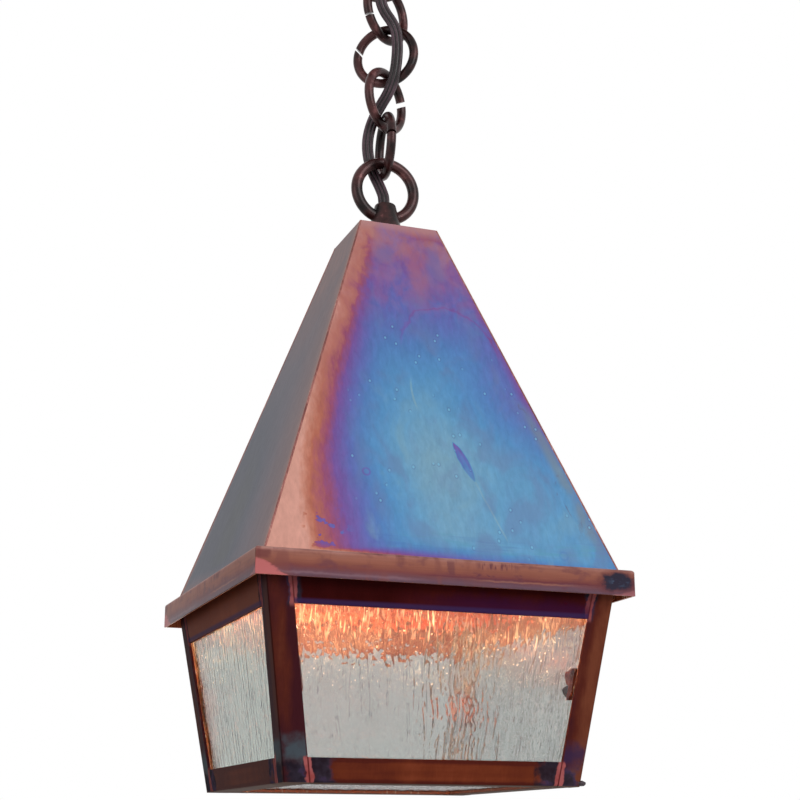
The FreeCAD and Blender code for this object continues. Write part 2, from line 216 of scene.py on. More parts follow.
class Graph:
    """Nodes of a material or of the world."""

    def __init__(self, owner: Union[Material, bpy.types.World]) -> None:
        """Start from the owner's own shader."""
        owner.use_nodes = True
        self.owner = owner
        self.tree = owner.node_tree

    @classmethod
    def named(cls, name: str) -> "Graph":
        """Start a new material with a Principled shader."""
        return cls(bpy.data.materials.new(name))

    def node(self, kind: str, settings: dict[str, Any], inputs: Sockets) -> bpy.types.Node:
        """Add a node.

        Args:
            kind: The node's type.
            settings: Its own properties, set first; stops are a ramp's (position, colour) pairs.
            inputs: Values or links of its sockets, by name or index.

        Returns:
            The node.
        """
        made = self.tree.nodes.new(kind)
        for name, value in settings.items():
            if name == "stops":
                elements = made.color_ramp.elements
                while len(elements) < len(value):
                    elements.new(1.0)
                for element, (position, colour) in zip(elements, value):
                    element.position = position
                    element.color = colour
            else:
                setattr(made, name, value)
        self.connect(made, inputs)
        return made

    def connect(self, node: bpy.types.Node, inputs: Sockets) -> None:
        """Give a node's sockets their values or links.

        Args:
            node: The node.
            inputs: Values or links by socket name or index.
        """
        for key, value in inputs.items():
            if isinstance(value, Field):
                self.tree.links.new(value.socket, node.inputs[key])
            else:
                node.inputs[key].default_value = value

    def point(self) -> Field:
        """Object coordinates in millimetres."""
        coordinates = self.node("ShaderNodeTexCoord", {}, {})
        place = Field(self, coordinates.outputs["Object"])
        made = self.node("ShaderNodeVectorMath", {"operation": "SCALE"}, {0: place, "Scale": 1 / MM})
        return Field(self, made.outputs[0])

    def axes(self, point: Field) -> tuple[Field, Field, Field]:
        """Split a point into x, y and z."""
        made = self.node("ShaderNodeSeparateXYZ", {}, {0: point})
        return Field(self, made.outputs[0]), Field(self, made.outputs[1]), Field(self, made.outputs[2])

    def scaled(self, point: Field, size: Triple, shift: float) -> Field:
        """Divide a point by a pattern's size and move it to another part of the pattern."""
        scale = tuple(1 / length for length in size)
        inputs = {"Vector": point, "Scale": scale, "Location": (shift, shift * 0.7, shift * 1.3)}
        made = self.node("ShaderNodeMapping", {}, inputs)
        return Field(self, made.outputs[0])

    def noise(
        self,
        point: Field,
        size: Triple,
        shift: float,
        detail: float = 3.0,
        swirl: float = 0.0,
    ) -> Field:
        """Soft noise around 0.5.

        Args:
            point: Where to read it, in millimetres.
            size: Its grain along x, y and z, in millimetres.
            shift: Picks another part of the pattern.
            detail: Number of finer layers.
            swirl: How much the noise is dragged into smoke.

        Returns:
            The noise.
        """
        inputs = {
            "Vector": self.scaled(point, size, shift),
            "Scale": 1.0,
            "Detail": detail,
            "Distortion": swirl,
        }
        made = self.node("ShaderNodeTexNoise", {}, inputs)
        return Field(self, made.outputs[0])

    def cells(self, point: Field, size: Triple, shift: float) -> Field:
        """Distance to scattered points, in cell sizes."""
        inputs = {"Vector": self.scaled(point, size, shift), "Scale": 1.0}
        made = self.node("ShaderNodeTexVoronoi", {}, inputs)
        return Field(self, made.outputs["Distance"])

    def spots(self, u: Field, v: Field, size: Triple, shift: float) -> Field:
        """Distance to points scattered over a sheet, in cell sizes.

        Args:
            u, v: Position on the sheet, in millimetres.
            size: Spacing of the points along u and v, in millimetres.
            shift: Picks another part of the pattern.

        Returns:
            The distance.
        """
        place = self.node("ShaderNodeCombineXYZ", {}, {0: u, 1: v})
        inputs = {"Vector": self.scaled(Field(self, place.outputs[0]), size, shift), "Scale": 1.0}
        made = self.node("ShaderNodeTexVoronoi", {"voronoi_dimensions": "2D"}, inputs)
        return Field(self, made.outputs["Distance"])

    def in_view(self) -> Field:
        """1 for what the eye, gloss and glass show, and 0 for light on its way to a surface."""
        path = self.node("ShaderNodeLightPath", {}, {})
        kinds = ("Camera", "Glossy", "Transmission")
        camera, glossy, transmission = (Field(self, path.outputs[f"Is {kind} Ray"]) for kind in kinds)
        return camera.most(glossy).most(transmission)

    def marked(self, name: str) -> Field:
        """A value that the mesh itself carries."""
        made = self.node("ShaderNodeAttribute", {"attribute_name": name}, {})
        return Field(self, made.outputs["Fac"])

    def ramp(self, value: Field, stops: Stops) -> Field:
        """Colour by value."""
        made = self.node("ShaderNodeValToRGB", {"stops": stops}, {0: value})
        return Field(self, made.outputs[0])

    def paint(self, below: Input, above: Input, share: Field) -> Field:
        """Lay one colour over another.

        Args:
            below: The colour underneath.
            above: The colour on top.
            share: How much of it covers, from 0 to 1.

        Returns:
            The mixed colour.
        """
        settings = {"data_type": "RGBA", "clamp_factor": True}
        made = self.node("ShaderNodeMix", settings, {0: share, 6: below, 7: above})
        return Field(self, made.outputs[2])

    def shade(self, colour: Input, level: Field) -> Field:
        """Multiply a colour by a grey level."""
        grey = self.node("ShaderNodeCombineColor", {}, {0: level, 1: level, 2: level})
        settings = {"data_type": "RGBA", "blend_type": "MULTIPLY"}
        made = self.node("ShaderNodeMix", settings, {0: 1.0, 6: colour, 7: Field(self, grey.outputs[0])})
        return Field(self, made.outputs[2])

    def finish(self, inputs: dict[str, Input], height: Field, depth_mm: float) -> Material:
        """Set the shader's sockets and its relief.

        Args:
            inputs: Values or links by socket name.
            height: Relief from 0 to 1.
            depth_mm: Height of the relief.

        Returns:
            The finished material.
        """
        bump = self.node("ShaderNodeBump", {}, {"Strength": 1.0, "Distance": depth_mm * MM, "Height": height})
        shader = self.tree.nodes["Principled BSDF"]
        self.connect(shader, {**inputs, "Normal": Field(self, bump.outputs[0])})
        return self.owner


class Side(Enum):
    """The lantern's four sides, numbered by quarter turns from the front."""

    FRONT = 0
    RIGHT = 1
    BACK = 2
    LEFT = 3

    @property
    def label(self) -> str:
        """The side's name in node names."""
        return self.name.lower()

    def across(self, x: Field, y: Field) -> tuple[Field, Field]:
        """Give the position along a side from its middle, left to right, and outwards from the axis."""
        return ((x, -y), (y, x), (-x, y), (-y, -x))[self.value]

    def turn(self) -> Matrix:
        """Turn that carries the front to this side."""
        return Matrix.Rotation(self.value * math.pi / 2, 4, "Z")


RAW_COPPER = screen(206, 116, 78)
CLEAN_COPPER = screen(170, 94, 94)
HEAT_BLACK = screen(44, 40, 54)
# Colour of painted glints: bright slivers on raw copper that stand in for the bulb's light
COPPER_GLINT = (255, 238, 206)
WHITE = screen(255, 255, 255)
BLACK = screen(0, 0, 0)

HEAT_BLUES = shades(
    (0.0, 204, 150, 136),
    (0.04, 190, 128, 110),
    (0.085, 174, 104, 86),
    (0.15, 148, 80, 108),
    (0.23, 116, 84, 150),
    (0.36, 96, 104, 171),
    (0.50, 84, 124, 180),
    (0.66, 86, 140, 187),
    (0.84, 100, 151, 187),
    (1.0, 118, 158, 182),
)
# Heat colours of the left sheet: the oxide film's colours turned grey by a painted reflection of a greyer
# surround
REFLECTED_HEAT_GREYS = shades(
    (0.0, 160, 112, 102),
    (0.10, 139, 108, 104),
    (0.25, 118, 101, 105),
    (0.5, 108, 103, 112),
    (0.8, 100, 102, 112),
    (1.0, 103, 105, 110),
)
# Fascia colours from the top fold down: copper browns, lightened at the top to a painted highlight along the
# fold and a painted reflection over the upper band
FASCIA_BROWNS_AND_SHEEN = shades(
    (0.0, 182, 136, 128),
    (0.05, 156, 110, 102),
    (0.16, 142, 92, 80),
    (0.32, 136, 84, 70),
    (0.5, 126, 74, 63),
    (0.64, 110, 60, 58),
    (0.76, 102, 64, 70),
    (0.9, 94, 68, 80),
    (1.0, 86, 62, 70),
)
SCORCH = shades(
    (0.2, 34, 30, 40),
    (0.5, 48, 44, 56),
    (0.7, 66, 54, 82),
    (0.9, 92, 62, 66),
)


@dataclass(frozen=True)
class Sheet:
    """Nodes of a copper sheet, where u runs along its side and v up from the ledge, in millimetres."""

    graph: Graph
    point: Field
    u: Field
    v: Field
    shift: float

    def noise(self, size: Triple, part: float, detail: float, swirl: float = 0.0) -> Field:
        """Soft noise from one part of the sheet's own pattern."""
        return self.graph.noise(self.point, size, self.shift + part, detail, swirl)

    def from_spot(self, u: float, v: float, wide: float = 1.0, tall: float = 1.0) -> Field:
        """Distance from a spot on the sheet, in shares of its half sizes."""
        along, up = (self.u - u) / wide, (self.v - v) / tall
        return (along * along + up * up) ** 0.5


@dataclass(frozen=True)
class RoofCopper:
    """Copper roof sheet coloured by heat: clean along its left hip, then purple, blue and grey."""

    side: Side
    stops: Stops
    shift: float
    right_film: float = 0.0
    burn: float = 0.0
    marks: bool = False
    stained: bool = True
    clean_mm: float = 23.0
    wet_film: float = 0.3

    half_mm: float = 89.5
    lean: float = 0.346154
    eaves_mm: float = 95.0

    def oxide(self, at: Sheet, half: Field) -> Field:
        """Thickness of the oxide film, from 0 on clean copper to 1.

        Args:
            at: The place on the sheet.
            half: Half-width of the slope at that height.

        Returns:
            The film's thickness.
        """
        u, v = at.u, at.v
        cloud = at.noise((44, 44, 60), 0, 2.0) - 0.5
        smoke = at.noise((15, 15, 21), 3, 4.0, 1.4) - 0.5
        brushed = at.noise((2.0, 2.0, 19), 6, 3.0) - 0.5
        clean = self.clean_mm * (0.17 + math.e ** (v / -38)) * (1 + 0.5 * cloud + 0.15 * smoke)
        inward = half + u - clean
        reach = self.clean_mm * (1.17 + 0.78 * v.step(65, 15))
        left = 0.83 - 0.74 * math.e ** -((inward.most(0.0) / reach) ** 1.5) + 0.014 * inward.least(0.0)
        fall = ROOF_TOP_MM - EAVES_MM - v
        top = 0.185 + 0.0003 * fall + 0.00005 * fall * fall
        hip = half - u
        edge = self.right_film + self.wet_film * v.step(88, 40)
        right = (edge + 0.03 * hip).least(edge + 0.14 + 0.0075 * hip)
        foot = 0.09 + 0.0045 * (u + 53) + 0.07 * (v - 1.5)
        film = left.soft_least(top, 0.08).soft_least(right, 0.08).soft_least(foot, 0.05)
        high = v.step(110, 150)
        belly = 0.24 * v.step(100, 40) * u.within(-24, 18, 24) * v.step(2, 14)
        return film + belly + cloud * 0.1 + smoke * (0.07 + 0.15 * high) + brushed * 0.08

    def drawn_marks(self, at: Sheet, film: Field) -> Field:
        """Add the front sheet's water marks, a scratch and small drips to the film.

        Args:
            at: The place on the sheet.
            film: The film's thickness.

        Returns:
            The film with its marks.
        """
        u, v = at.u, at.v
        ripple = at.noise((9, 9, 9), 11, 2.0) - 0.5
        reach = at.from_spot(18, 116) + ripple * 9
        arc = reach.within(27, 27.6, 0.9) * v.step(112, 126)
        along = (64 - v) * 0.93 + (u - 11.5) * 0.37
        aside = (u - 11.5) * 0.93 - (64 - v) * 0.37 + ripple * 1.6
        leaf = 3.0 * (along * (math.pi / 24)).sine().most(0.0) ** 0.7
        scratch = (leaf - abs(aside)).step(0.0, 0.9) * along.within(0.5, 23.5, 0.5) * (1.15 - along * 0.02)
        core = (leaf * 0.35 - abs(aside + 0.3)).step(-0.3, 0.3) * along.within(5, 18, 3)
        line = (abs(aside) + ripple * 0.5).step(0.7, 0.2) * along.within(24, 56, 3)
        stroke = abs(u + 6.5 - (v - 92) * (v - 92) * 0.014).step(0.9, 0.2) * v.within(82, 97, 3)
        ring = at.from_spot(-36, 43).within(1.4, 2.2, 0.5)
        drop = at.from_spot(61, 6).within(1.6, 2.6, 0.6)
        corner = at.noise((5, 5, 4), 21, 2.0)
        spatter = corner.step(0.56, 0.62) * (u + 61).within(-7, 12, 5) * v.within(3, 20, 4)
        film = film - 0.17 * arc - 0.6 * scratch + 0.07 * core + 0.16 * line + 0.24 * stroke
        return film - 0.2 * ring - 0.16 * drop + 0.16 * spatter

    def stains(self, at: Sheet, colour: Field, film: Field) -> Field:
        """Lay dried water, brushed streaks, rosy smoke and bright flecks over the slope.

        Args:
            at: The place on the sheet.
            colour: The slope's colour.
            film: The film's thickness.

        Returns:
            The stained colour.
        """
        u, v = at.u, at.v
        hip = self.half_mm - self.lean * v - u
        shore = at.noise((13, 13, 40), 71, 4.0, 0.6)
        edge = (hip + (shore - 0.5) * 34).within(7.0, 7.9, 0.8) * v.within(20, 92, 8)
        tide = edge * at.noise((7, 7, 7), 75, 2.0).step(0.42, 0.56)
        colour = colour.coat((90, 82, 112), tide * 0.85)
        wet = hip.within(1.0, 7, 2.5) * v.within(10, 84, 12) * shore.step(0.36, 0.52)
        colour = colour.coat((116, 132, 146), wet * 0.75)
        wiped = at.noise((34, 34, 2.4), 73, 3.0, 0.5)
        foot = v.within(4, 13, 4) * film.step(0.3, 0.5)
        colour = colour.coat((88, 150, 170), wiped.step(0.5, 0.68) * foot * 0.45)
        colour = colour.coat((72, 104, 164), wiped.step(0.48, 0.3) * foot * 0.3)
        rose = at.noise((12, 12, 18), 91, 3.0, 1.0)
        colour = colour.coat((160, 98, 132), rose.step(0.42, 0.64) * v.within(140, 182, 14) * 0.3)
        warm = film.within(0.0, 0.12, 0.03) * v.step(60, 120)
        colour = colour.coat((178, 116, 112), warm * 0.55)
        haze = at.noise((16, 16, 22), 77, 3.0, 0.8).step(0.34, 0.7)
        veil = (v.step(146, 184) * haze * 0.45).most(v.step(185, 195) * 0.75)
        colour = colour.coat((182, 138, 138), veil)
        dull = at.noise((20, 20, 34), 81, 4.0, 0.9)
        blued = film.step(0.28, 0.42)
        colour = colour.coat((104, 118, 158), dull.step(0.46, 0.66) * blued * 0.4)
        colour = colour.coat((122, 158, 174), dull.step(0.46, 0.28) * blued * v.step(110, 60) * 0.4)
        flecks = at.graph.spots(u, v, (8.0, 10.0, 1.0), self.shift + 61)
        kept = at.noise((16, 16, 16), 65, 1.0).step(0.55, 0.61) * blued
        colour = colour.coat((76, 74, 132), flecks.within(0.1, 0.13, 0.02) * kept * 0.45)
        return colour.coat((120, 180, 208), flecks.step(0.085, 0.045) * kept * 0.65)

    def smears(self, at: Sheet, colour: Field) -> Field:
        """Lay a rosy streak between two bluish smears near the top of the front sheet.

        Args:
            at: The place on the sheet.
            colour: The slope's colour.

        Returns:
            The smeared colour.
        """
        u, v = at.u, at.v
        drift = at.noise((10, 10, 16), 95, 3.0, 0.8) - 0.5
        streak = (abs(u - 6 + (v - 165) * 0.05) + drift * 16).step(9, 0) * v.within(148, 182, 12)
        colour = colour.coat((168, 104, 116), streak * 0.42)
        left = at.from_spot(-11, 173, 8, 10)
        right = at.from_spot(17, 170, 5.4772, 14.8324)
        blue = (left.least(right) + drift * 1.6).step(1.2, 0.4)
        return colour.coat((122, 106, 154), blue * 0.65)

    def fascia(self, at: Sheet) -> Field:
        """Colour of the fascia, with its heat marks at the soldered corners.

        Args:
            at: The place on the sheet.

        Returns:
            The colour.
        """
        graph, u, v = at.graph, at.u, at.v
        smear = at.noise((19, 19, 6), 31, 4.0, 0.5) - 0.5
        blot = at.noise((4.5, 4.5, 3.2), 35, 3.0) - 0.5
        drawn = at.noise((40, 40, 0.8), 38, 3.0)
        # Browns by depth below the fold, with a painted highlight at the fold and a painted reflection
        # lightening the upper band
        colour = graph.ramp(v * (-1 / 12.7) + smear * 0.3, FASCIA_BROWNS_AND_SHEEN)
        colour = graph.shade(colour, 0.8 + 0.36 * drawn)
        colour = colour.coat((96, 56, 66), (smear + blot * 0.5).step(0.02, 0.24) * 0.6)
        colour = colour.coat((160, 106, 88), smear.step(-0.12, -0.36) * v.step(-8, -4) * 0.45)
        panels = at.noise((9, 9, 26), 37, 3.0, 0.6)
        colour = colour.coat((112, 64, 62), panels.step(0.5, 0.64) * u.step(40, -20) * 0.55)
        drips = at.noise((1.2, 1.2, 14), 41, 2.0)
        runs = drips.step(0.46, 0.56) * u.within(13, 31, 3) * (v + blot * 3).within(-4.2, -1.2, 0.9)
        stain = (abs(u + 1 - blot * 6) + blot * 4).step(2.4, 1.2) * v.within(-8, -1.5, 1.2)
        specks = blot.step(0.06, 0.2) * v.within(-8.6, -6.4, 0.8) * u.within(-4, 46, 6)
        colour = colour.coat((88, 50, 60), runs.most(stain * 0.7).most(specks) * 0.8)
        seam = (v + 8.7 + blot * 1.4).within(-0.25, 0.25, 0.5) * u.within(-14, 74, 6)
        colour = colour.coat((90, 44, 54), seam * 0.75)
        worn = (v + 9.7 + blot * 1.4).within(-0.2, 0.2, 0.4) * u.within(14, 60, 8)
        colour = colour.coat((176, 120, 88), worn * 0.45)
        rubbed = (v + 10.9 + blot * 2).within(-0.5, 0.5, 0.6) * u.within(-86, -20, 10)
        colour = colour.coat((126, 96, 104), rubbed * 0.5)
        dusk = (abs(u + 92) + blot * 5).step(6, 2) * v.within(-5.5, -1.4, 1)
        colour = colour.coat((100, 54, 54), dusk * 0.8)
        clean_left = ((u + 93) * 0.5 + (v + 6.4) + blot * 6 + smear * 4).step(0.8, -0.8)
        colour = graph.paint(colour, CLEAN_COPPER, clean_left * 0.95)
        clean_right = ((u - 96) * -0.28 + (v + 9.4) + blot * 4).step(0.6, -0.6)
        colour = colour.coat((146, 92, 96), clean_right * 0.9)
        tail = (u - 87) * (1 - 0.25 * u.step(86, 80))
        oval = (tail * tail / 52 + (v + 6.3) * (v + 6.3) / 17) ** 0.5 + blot * 1.1 + smear * 0.45
        colour = colour.coat((92, 48, 52), oval.step(1.7, 1.0) * self.burn * 0.6)
        sheen = (blot * 1.6 + drawn * 0.8).step(0.38, 0.66) * oval.step(0.9, 0.4)
        burn = graph.paint(HEAT_BLACK, screen(66, 80, 102), sheen)
        return graph.paint(colour, burn, oval.step(1.22, 0.8) * self.burn)

    def material(self) -> Material:
        """Build the finish."""
        graph = Graph.named(f"roof_copper_{self.side.label}")
        point = graph.point()
        x, y, z = graph.axes(point)
        u, out = self.side.across(x, y)
        v = z - EAVES_MM
        half = self.half_mm - self.lean * v
        at = Sheet(graph, point, u, v, self.shift)
        film = self.oxide(at, half)
        if self.marks:
            film = self.drawn_marks(at, film)
        fine = at.noise((0.9, 0.9, 6), 51, 2.0)
        wide = at.noise((24, 24, 30), 55, 2.0)
        stroke = at.noise((2.6, 2.6, 17), 57, 3.0, 0.4)
        level = 0.7 + 0.16 * fine + 0.08 * wide + 0.36 * stroke
        slope = graph.shade(graph.ramp(film, self.stops), level)
        if self.stained:
            slope = self.stains(at, slope, film)
        if self.marks:
            slope = self.smears(at, slope)
        colour = graph.paint(slope, self.fascia(at), v.step(0.4, -0.4))
        behind_slope = (half - out).step(0.35, 0.65) * v.step(-1.2, -0.6)
        behind_fascia = (self.eaves_mm - out).step(0.4, 0.7) * v.step(-0.7, -1.1)
        inside = behind_slope.most(behind_fascia)
        raw = graph.shade(RAW_COPPER, 0.8 + 0.4 * wide)
        # Painted glints: bright upright slivers on the raw copper inside, with darker streaks of painted
        # shade between them
        painted_glints = at.noise((1.0, 1.0, 8), 59, 2.0)
        raw = raw.coat(COPPER_GLINT, painted_glints.step(0.59, 0.66) * 0.9)
        raw = raw.coat((150, 72, 44), painted_glints.step(0.44, 0.36) * 0.5)
        colour = graph.paint(colour, raw, inside)
        sockets = {
            "Base Color": colour,
            "Roughness": 0.36 + 0.14 * fine + 0.1 * film.least(1.0),
            "Metallic": 0.2 + 0.1 * inside,
            "Specular IOR Level": 0.04,
        }
        return graph.finish(sockets, wide * 0.8 + fine * 0.2, depth_mm=0.12)


@dataclass(frozen=True)
class CageCopper:
    """Red-brown copper angle with black and clean marks where it was soldered."""

    name: str
    tone: tuple[Colour, Colour, Colour]
    inner: Colour
    grain_mm: Triple
    shift: float
    # Level of painted shade on the outer faces, 1 for none
    painted_shade_level: float = 1.0
    # Share of the painted glints on the inner faces
    painted_glints: float = 0.9

    sheet_mm: float = 1.5
    bottom_half_mm: float = 73.288
    lean: float = 0.15873
    flange_mm: float = 12.0

    def material(self) -> Material:
        """Build the finish."""
        graph = Graph.named(f"cage_copper_{self.name}")
        point = graph.point()
        x, y, z = graph.axes(point)
        t = z - BOTTOM_MM
        half = self.bottom_half_mm + t * self.lean
        out = abs(x).most(abs(y))
        along = abs(x).least(abs(y))
        joint = along - (half - self.flange_mm)
        cloud = graph.noise(point, (22, 22, 30), self.shift, 3.0) - 0.5
        blot = graph.noise(point, (5, 5, 5), self.shift + 5, 4.0) - 0.5
        fine = graph.noise(point, (0.8, 0.8, 6), self.shift + 9, 2.0)
        drawn = graph.noise(point, self.grain_mm, self.shift + 13, 3.0) - 0.5
        dark, mid, warm = self.tone
        rail = joint.step(0.5, -0.5)
        corner = joint.step(1.0, 8.0) - 0.5 * joint.step(-0.5, 0.5)
        rim = abs(t - 5.6).within(3.9, 5.8, 0.9) * rail
        middle = along.step(50, 8) * rail
        tone = 0.36 + cloud * 0.9 + blot * 0.2 + drawn * 0.4 + x * 0.0026
        tone = tone + corner * 0.4 + middle * 0.25 - rim * 0.35
        colour = graph.ramp(tone, ((0.2, dark), (0.5, mid), (0.8, warm)))
        colour = graph.shade(colour, 0.86 + 0.28 * fine)
        low = t.step(23, 19)
        high = t.step(76, 79)
        near = abs(joint) + blot * 7
        patch = near.step(13, 9) * joint.step(0.0, 1.0) * (t + blot * 10).within(9.5, 19, 4.0)
        patchy = 1.0 + 0.6 * cloud
        steel = graph.shade(screen(76, 84, 92), patchy)
        colour = graph.paint(colour, steel, patch * (x * -0.02 + 0.4).step(0.0, 1.0))
        colour = colour.coat((54, 42, 74), patch * x.step(20, 60) * 0.8)
        burn = (abs(joint + 5.5) + blot * 16).step(7.4, 2.8) * joint.step(1.0, -1.0) * low
        burn = burn.most((abs(joint - 5) + blot * 12).step(6.6, 3.2) * (t + blot * 7).step(10.5, 7.0))
        burn = burn.most((abs(joint) + blot * 7).step(4.2, 2.0) * high)
        scorch = graph.ramp(0.5 + blot * 1.6 + cloud, SCORCH)
        colour = graph.paint(colour, scorch, burn * 0.92)
        clean = abs(joint + blot * 4).step(2.3, 1.6) * (low * (t + blot * 8).step(13, 11)).most(high * 0.8)
        pink = graph.paint(CLEAN_COPPER, screen(150, 70, 68), (blot * 2 + 0.5).step(0.3, 0.9))
        colour = graph.paint(colour, pink, clean)
        colour = colour.coat((84, 30, 32), clean * abs(joint).step(0.5, 0.25) * 0.8)
        edge = t.within(78.4, 80.6, 0.8) * rail
        stain = (t + blot * 5 + cloud * 6).step(89, 82) * t.step(77, 79) * x.step(-30, 25) * rail
        colour = colour.coat((60, 22, 58), stain * 0.65)
        colour = colour.coat((62, 46, 88), edge * 0.75)
        under = t.step(0.5, 0.2)
        # Painted shade: faces that look to the left are darkened to half
        shaded = (abs(x) - abs(y)).step(-0.2, 0.2) * x.step(-30, -40)
        colour = graph.shade(colour, 1 - 0.5 * shaded)
        # The undersides of the shelves are a flat greyish brown
        underside_grey = graph.shade(screen(96, 78, 71), patchy)
        colour = graph.paint(colour, underside_grey, under)
        inside = (half - out).step(self.sheet_mm - 0.15, self.sheet_mm - 0.02) * (1 - under)
        # Painted glints: bright upright slivers on the inner faces, with darker streaks of painted shade
        # between them
        streaks = graph.noise(point, (1.0, 1.0, 7), self.shift + 17, 2.0)
        inner = graph.shade(self.inner, 0.85 + 0.3 * fine)
        inner = inner.coat(COPPER_GLINT, streaks.step(0.59, 0.66) * self.painted_glints)
        inner = inner.coat((150, 70, 42), streaks.step(0.43, 0.35) * 0.5)
        colour = graph.paint(colour, inner, inside)
        # Painted shade: the outer faces are darkened to this level, while the inner faces and the underside
        # are not
        colour = graph.shade(colour, self.painted_shade_level + (1 - self.painted_shade_level) * inside.most(under))
        sockets = {
            "Base Color": colour,
            "Roughness": 0.38 + 0.16 * fine + 0.2 * burn,
            "Metallic": 0.2 + 0.4 * inside,
            "Specular IOR Level": 0.0,
        }
        return graph.finish(sockets, fine * 0.4 + blot * 0.6, depth_mm=0.1)


@dataclass(frozen=True)
class Metal:
    """Plain metal with a worn, mottled skin, in screen colours."""

    name: str
    dark: Rgb
    light: Rgb
    worn: Rgb
    metallic: float
    rough: float
    grain_mm: Triple
    relief_mm: float
    shine: float = 0.5

    @functools.cache
    def material(self) -> Material:
        """Build the finish once."""
        graph = Graph.named(self.name)
        point = graph.point()
        grain = graph.noise(point, self.grain_mm, 2.0, 4.0)
        cloud = graph.noise(point, (18, 18, 18), 7.0, 3.0)
        lighter = (cloud * 0.6 + grain * 0.4).step(0.36, 0.62)
        colour = graph.paint(screen(*self.dark), screen(*self.light), lighter)
        colour = colour.coat(self.worn, (grain + cloud * 0.5).step(0.86, 0.98) * 0.7)
        sockets = {
            "Base Color": colour,
            "Roughness": self.rough - 0.08 + 0.16 * grain,
            "Metallic": self.metallic,
            "Specular IOR Level": self.shine,
        }
        return graph.finish(sockets, grain, self.relief_mm)


# Metals of the chain, fittings, tabs and solder
CHAIN_COPPER = Metal(
    "chain_copper", dark=(17, 6, 7), light=(80, 44, 44), worn=(122, 78, 78),
    metallic=0.3, rough=0.28, grain_mm=(6.0, 6.0, 6.0), relief_mm=0.03, shine=0.3,
)
CANOPY_COPPER = Metal(
    "canopy_copper", dark=(92, 56, 46), light=(138, 88, 72), worn=(176, 120, 100),
    metallic=0.5, rough=0.4, grain_mm=(2.0, 2.0, 2.0), relief_mm=0.05,
)
HIP_SOLDER = Metal(
    "hip_solder", dark=(112, 58, 54), light=(158, 100, 92), worn=(190, 140, 128),
    metallic=0.4, rough=0.4, grain_mm=(1.0, 1.0, 5.0), relief_mm=0.1,
)
ROOF_CAP_COPPER = Metal(
    "roof_cap_copper", dark=(150, 96, 84), light=(190, 132, 116), worn=(128, 84, 118),
    metallic=0.4, rough=0.42, grain_mm=(2.0, 2.0, 2.0), relief_mm=0.05,
)
TAB_COPPER = Metal(
    "tab_copper", dark=(96, 34, 26), light=(180, 78, 58), worn=(232, 146, 116),
    metallic=0.4, rough=0.32, grain_mm=(1.0, 1.0, 3.0), relief_mm=0.05, shine=0.1,
)
TAB_COPPER_BACK = Metal(
    "tab_copper_back", dark=(150, 100, 84), light=(186, 140, 122), worn=(214, 176, 156),
    metallic=0.3, rough=0.36, grain_mm=(1.0, 1.0, 3.0), relief_mm=0.05,
)
DRIP_SOLDER = Metal(
    "drip_solder", dark=(34, 28, 34), light=(58, 46, 54), worn=(96, 62, 58),
    metallic=0.3, rough=0.5, grain_mm=(0.8, 0.8, 0.8), relief_mm=0.08,
)
# Near-black copy for the lower tab lump: painted shade under the curled fold
SHADED_TAB_SOLDER = Metal(
    "tab_solder_shaded", dark=(18, 5, 4), light=(44, 14, 11), worn=(96, 40, 30),
    metallic=0.1, rough=0.5, grain_mm=(1.2, 1.2, 1.2), relief_mm=0.08, shine=0.05,
)
FITTING_BRASS = Metal(
    "fitting_brass", dark=(150, 112, 60), light=(196, 158, 92), worn=(120, 88, 52),
    metallic=0.8, rough=0.32, grain_mm=(1.0, 1.0, 1.0), relief_mm=0.03,
)


@dataclass(frozen=True)
class RainGlass:
    """Clear grey glass, with painted shade on the steep sides of its streaks and painted glints that glow in
    its upper streaks.
    """

    name: str
    tint: Colour
    # Colour of the painted shade on the steep sides of the streaks
    edge: Colour
    gleam: Colour
    ior: float
    haze: float = 0.01
    # Strength of the painted glints, 0 for none
    glint_strength: float = 1.0

    # Heights of the painted glints in millimetres: upright slivers, then small dots
    glint_slivers_mm: tuple[float, float] = (-460.0, -440.0)
    glint_dots_mm: tuple[float, float] = (-482.0, -456.0)

    def material(self) -> Material:
        """Build the finish."""
        graph = Graph.named(self.name)
        point = graph.point()
        cloud = graph.noise(point, (20, 20, 34), 4.0, 2.0)
        ripple = graph.noise(point, (1.4, 1.4, 3.0), 9.0, 2.0)
        steep = graph.marked("steep").step(0.004, 0.04)
        # Painted shade: the steep sides of the streaks take the darker edge colour
        colour = graph.shade(graph.paint(self.tint, self.edge, steep), 0.97 + 0.06 * cloud)
        _, _, z = graph.axes(point)
        # Painted glints: the glass glows in thin upright slivers near the top and in small dots over its
        # upper part, though it is no lamp
        glint_sliver = graph.noise(point, (1.3, 1.3, 12), 15.0, 1.0).step(0.58, 0.72)
        dot = graph.noise(point, (1.3, 1.3, 1.8), 21.0, 1.0).step(0.72, 0.8)
        lit = glint_sliver * z.step(*self.glint_slivers_mm) * (0.4 + cloud).step(0.7, 1.1)
        lit = lit.most(dot * z.step(*self.glint_dots_mm)) * self.glint_strength
        glow = graph.paint(BLACK, screen(255, 214, 158), lit)
        sockets = {
            "Base Color": colour,
            "Roughness": self.haze + 0.02 * ripple,
            "Transmission Weight": 1.0,
            "Specular Tint": self.gleam,
            "IOR": self.ior,
            "Emission Color": glow,
            "Emission Strength": 1.4,
        }
        return graph.finish(sockets, ripple, depth_mm=0.02)


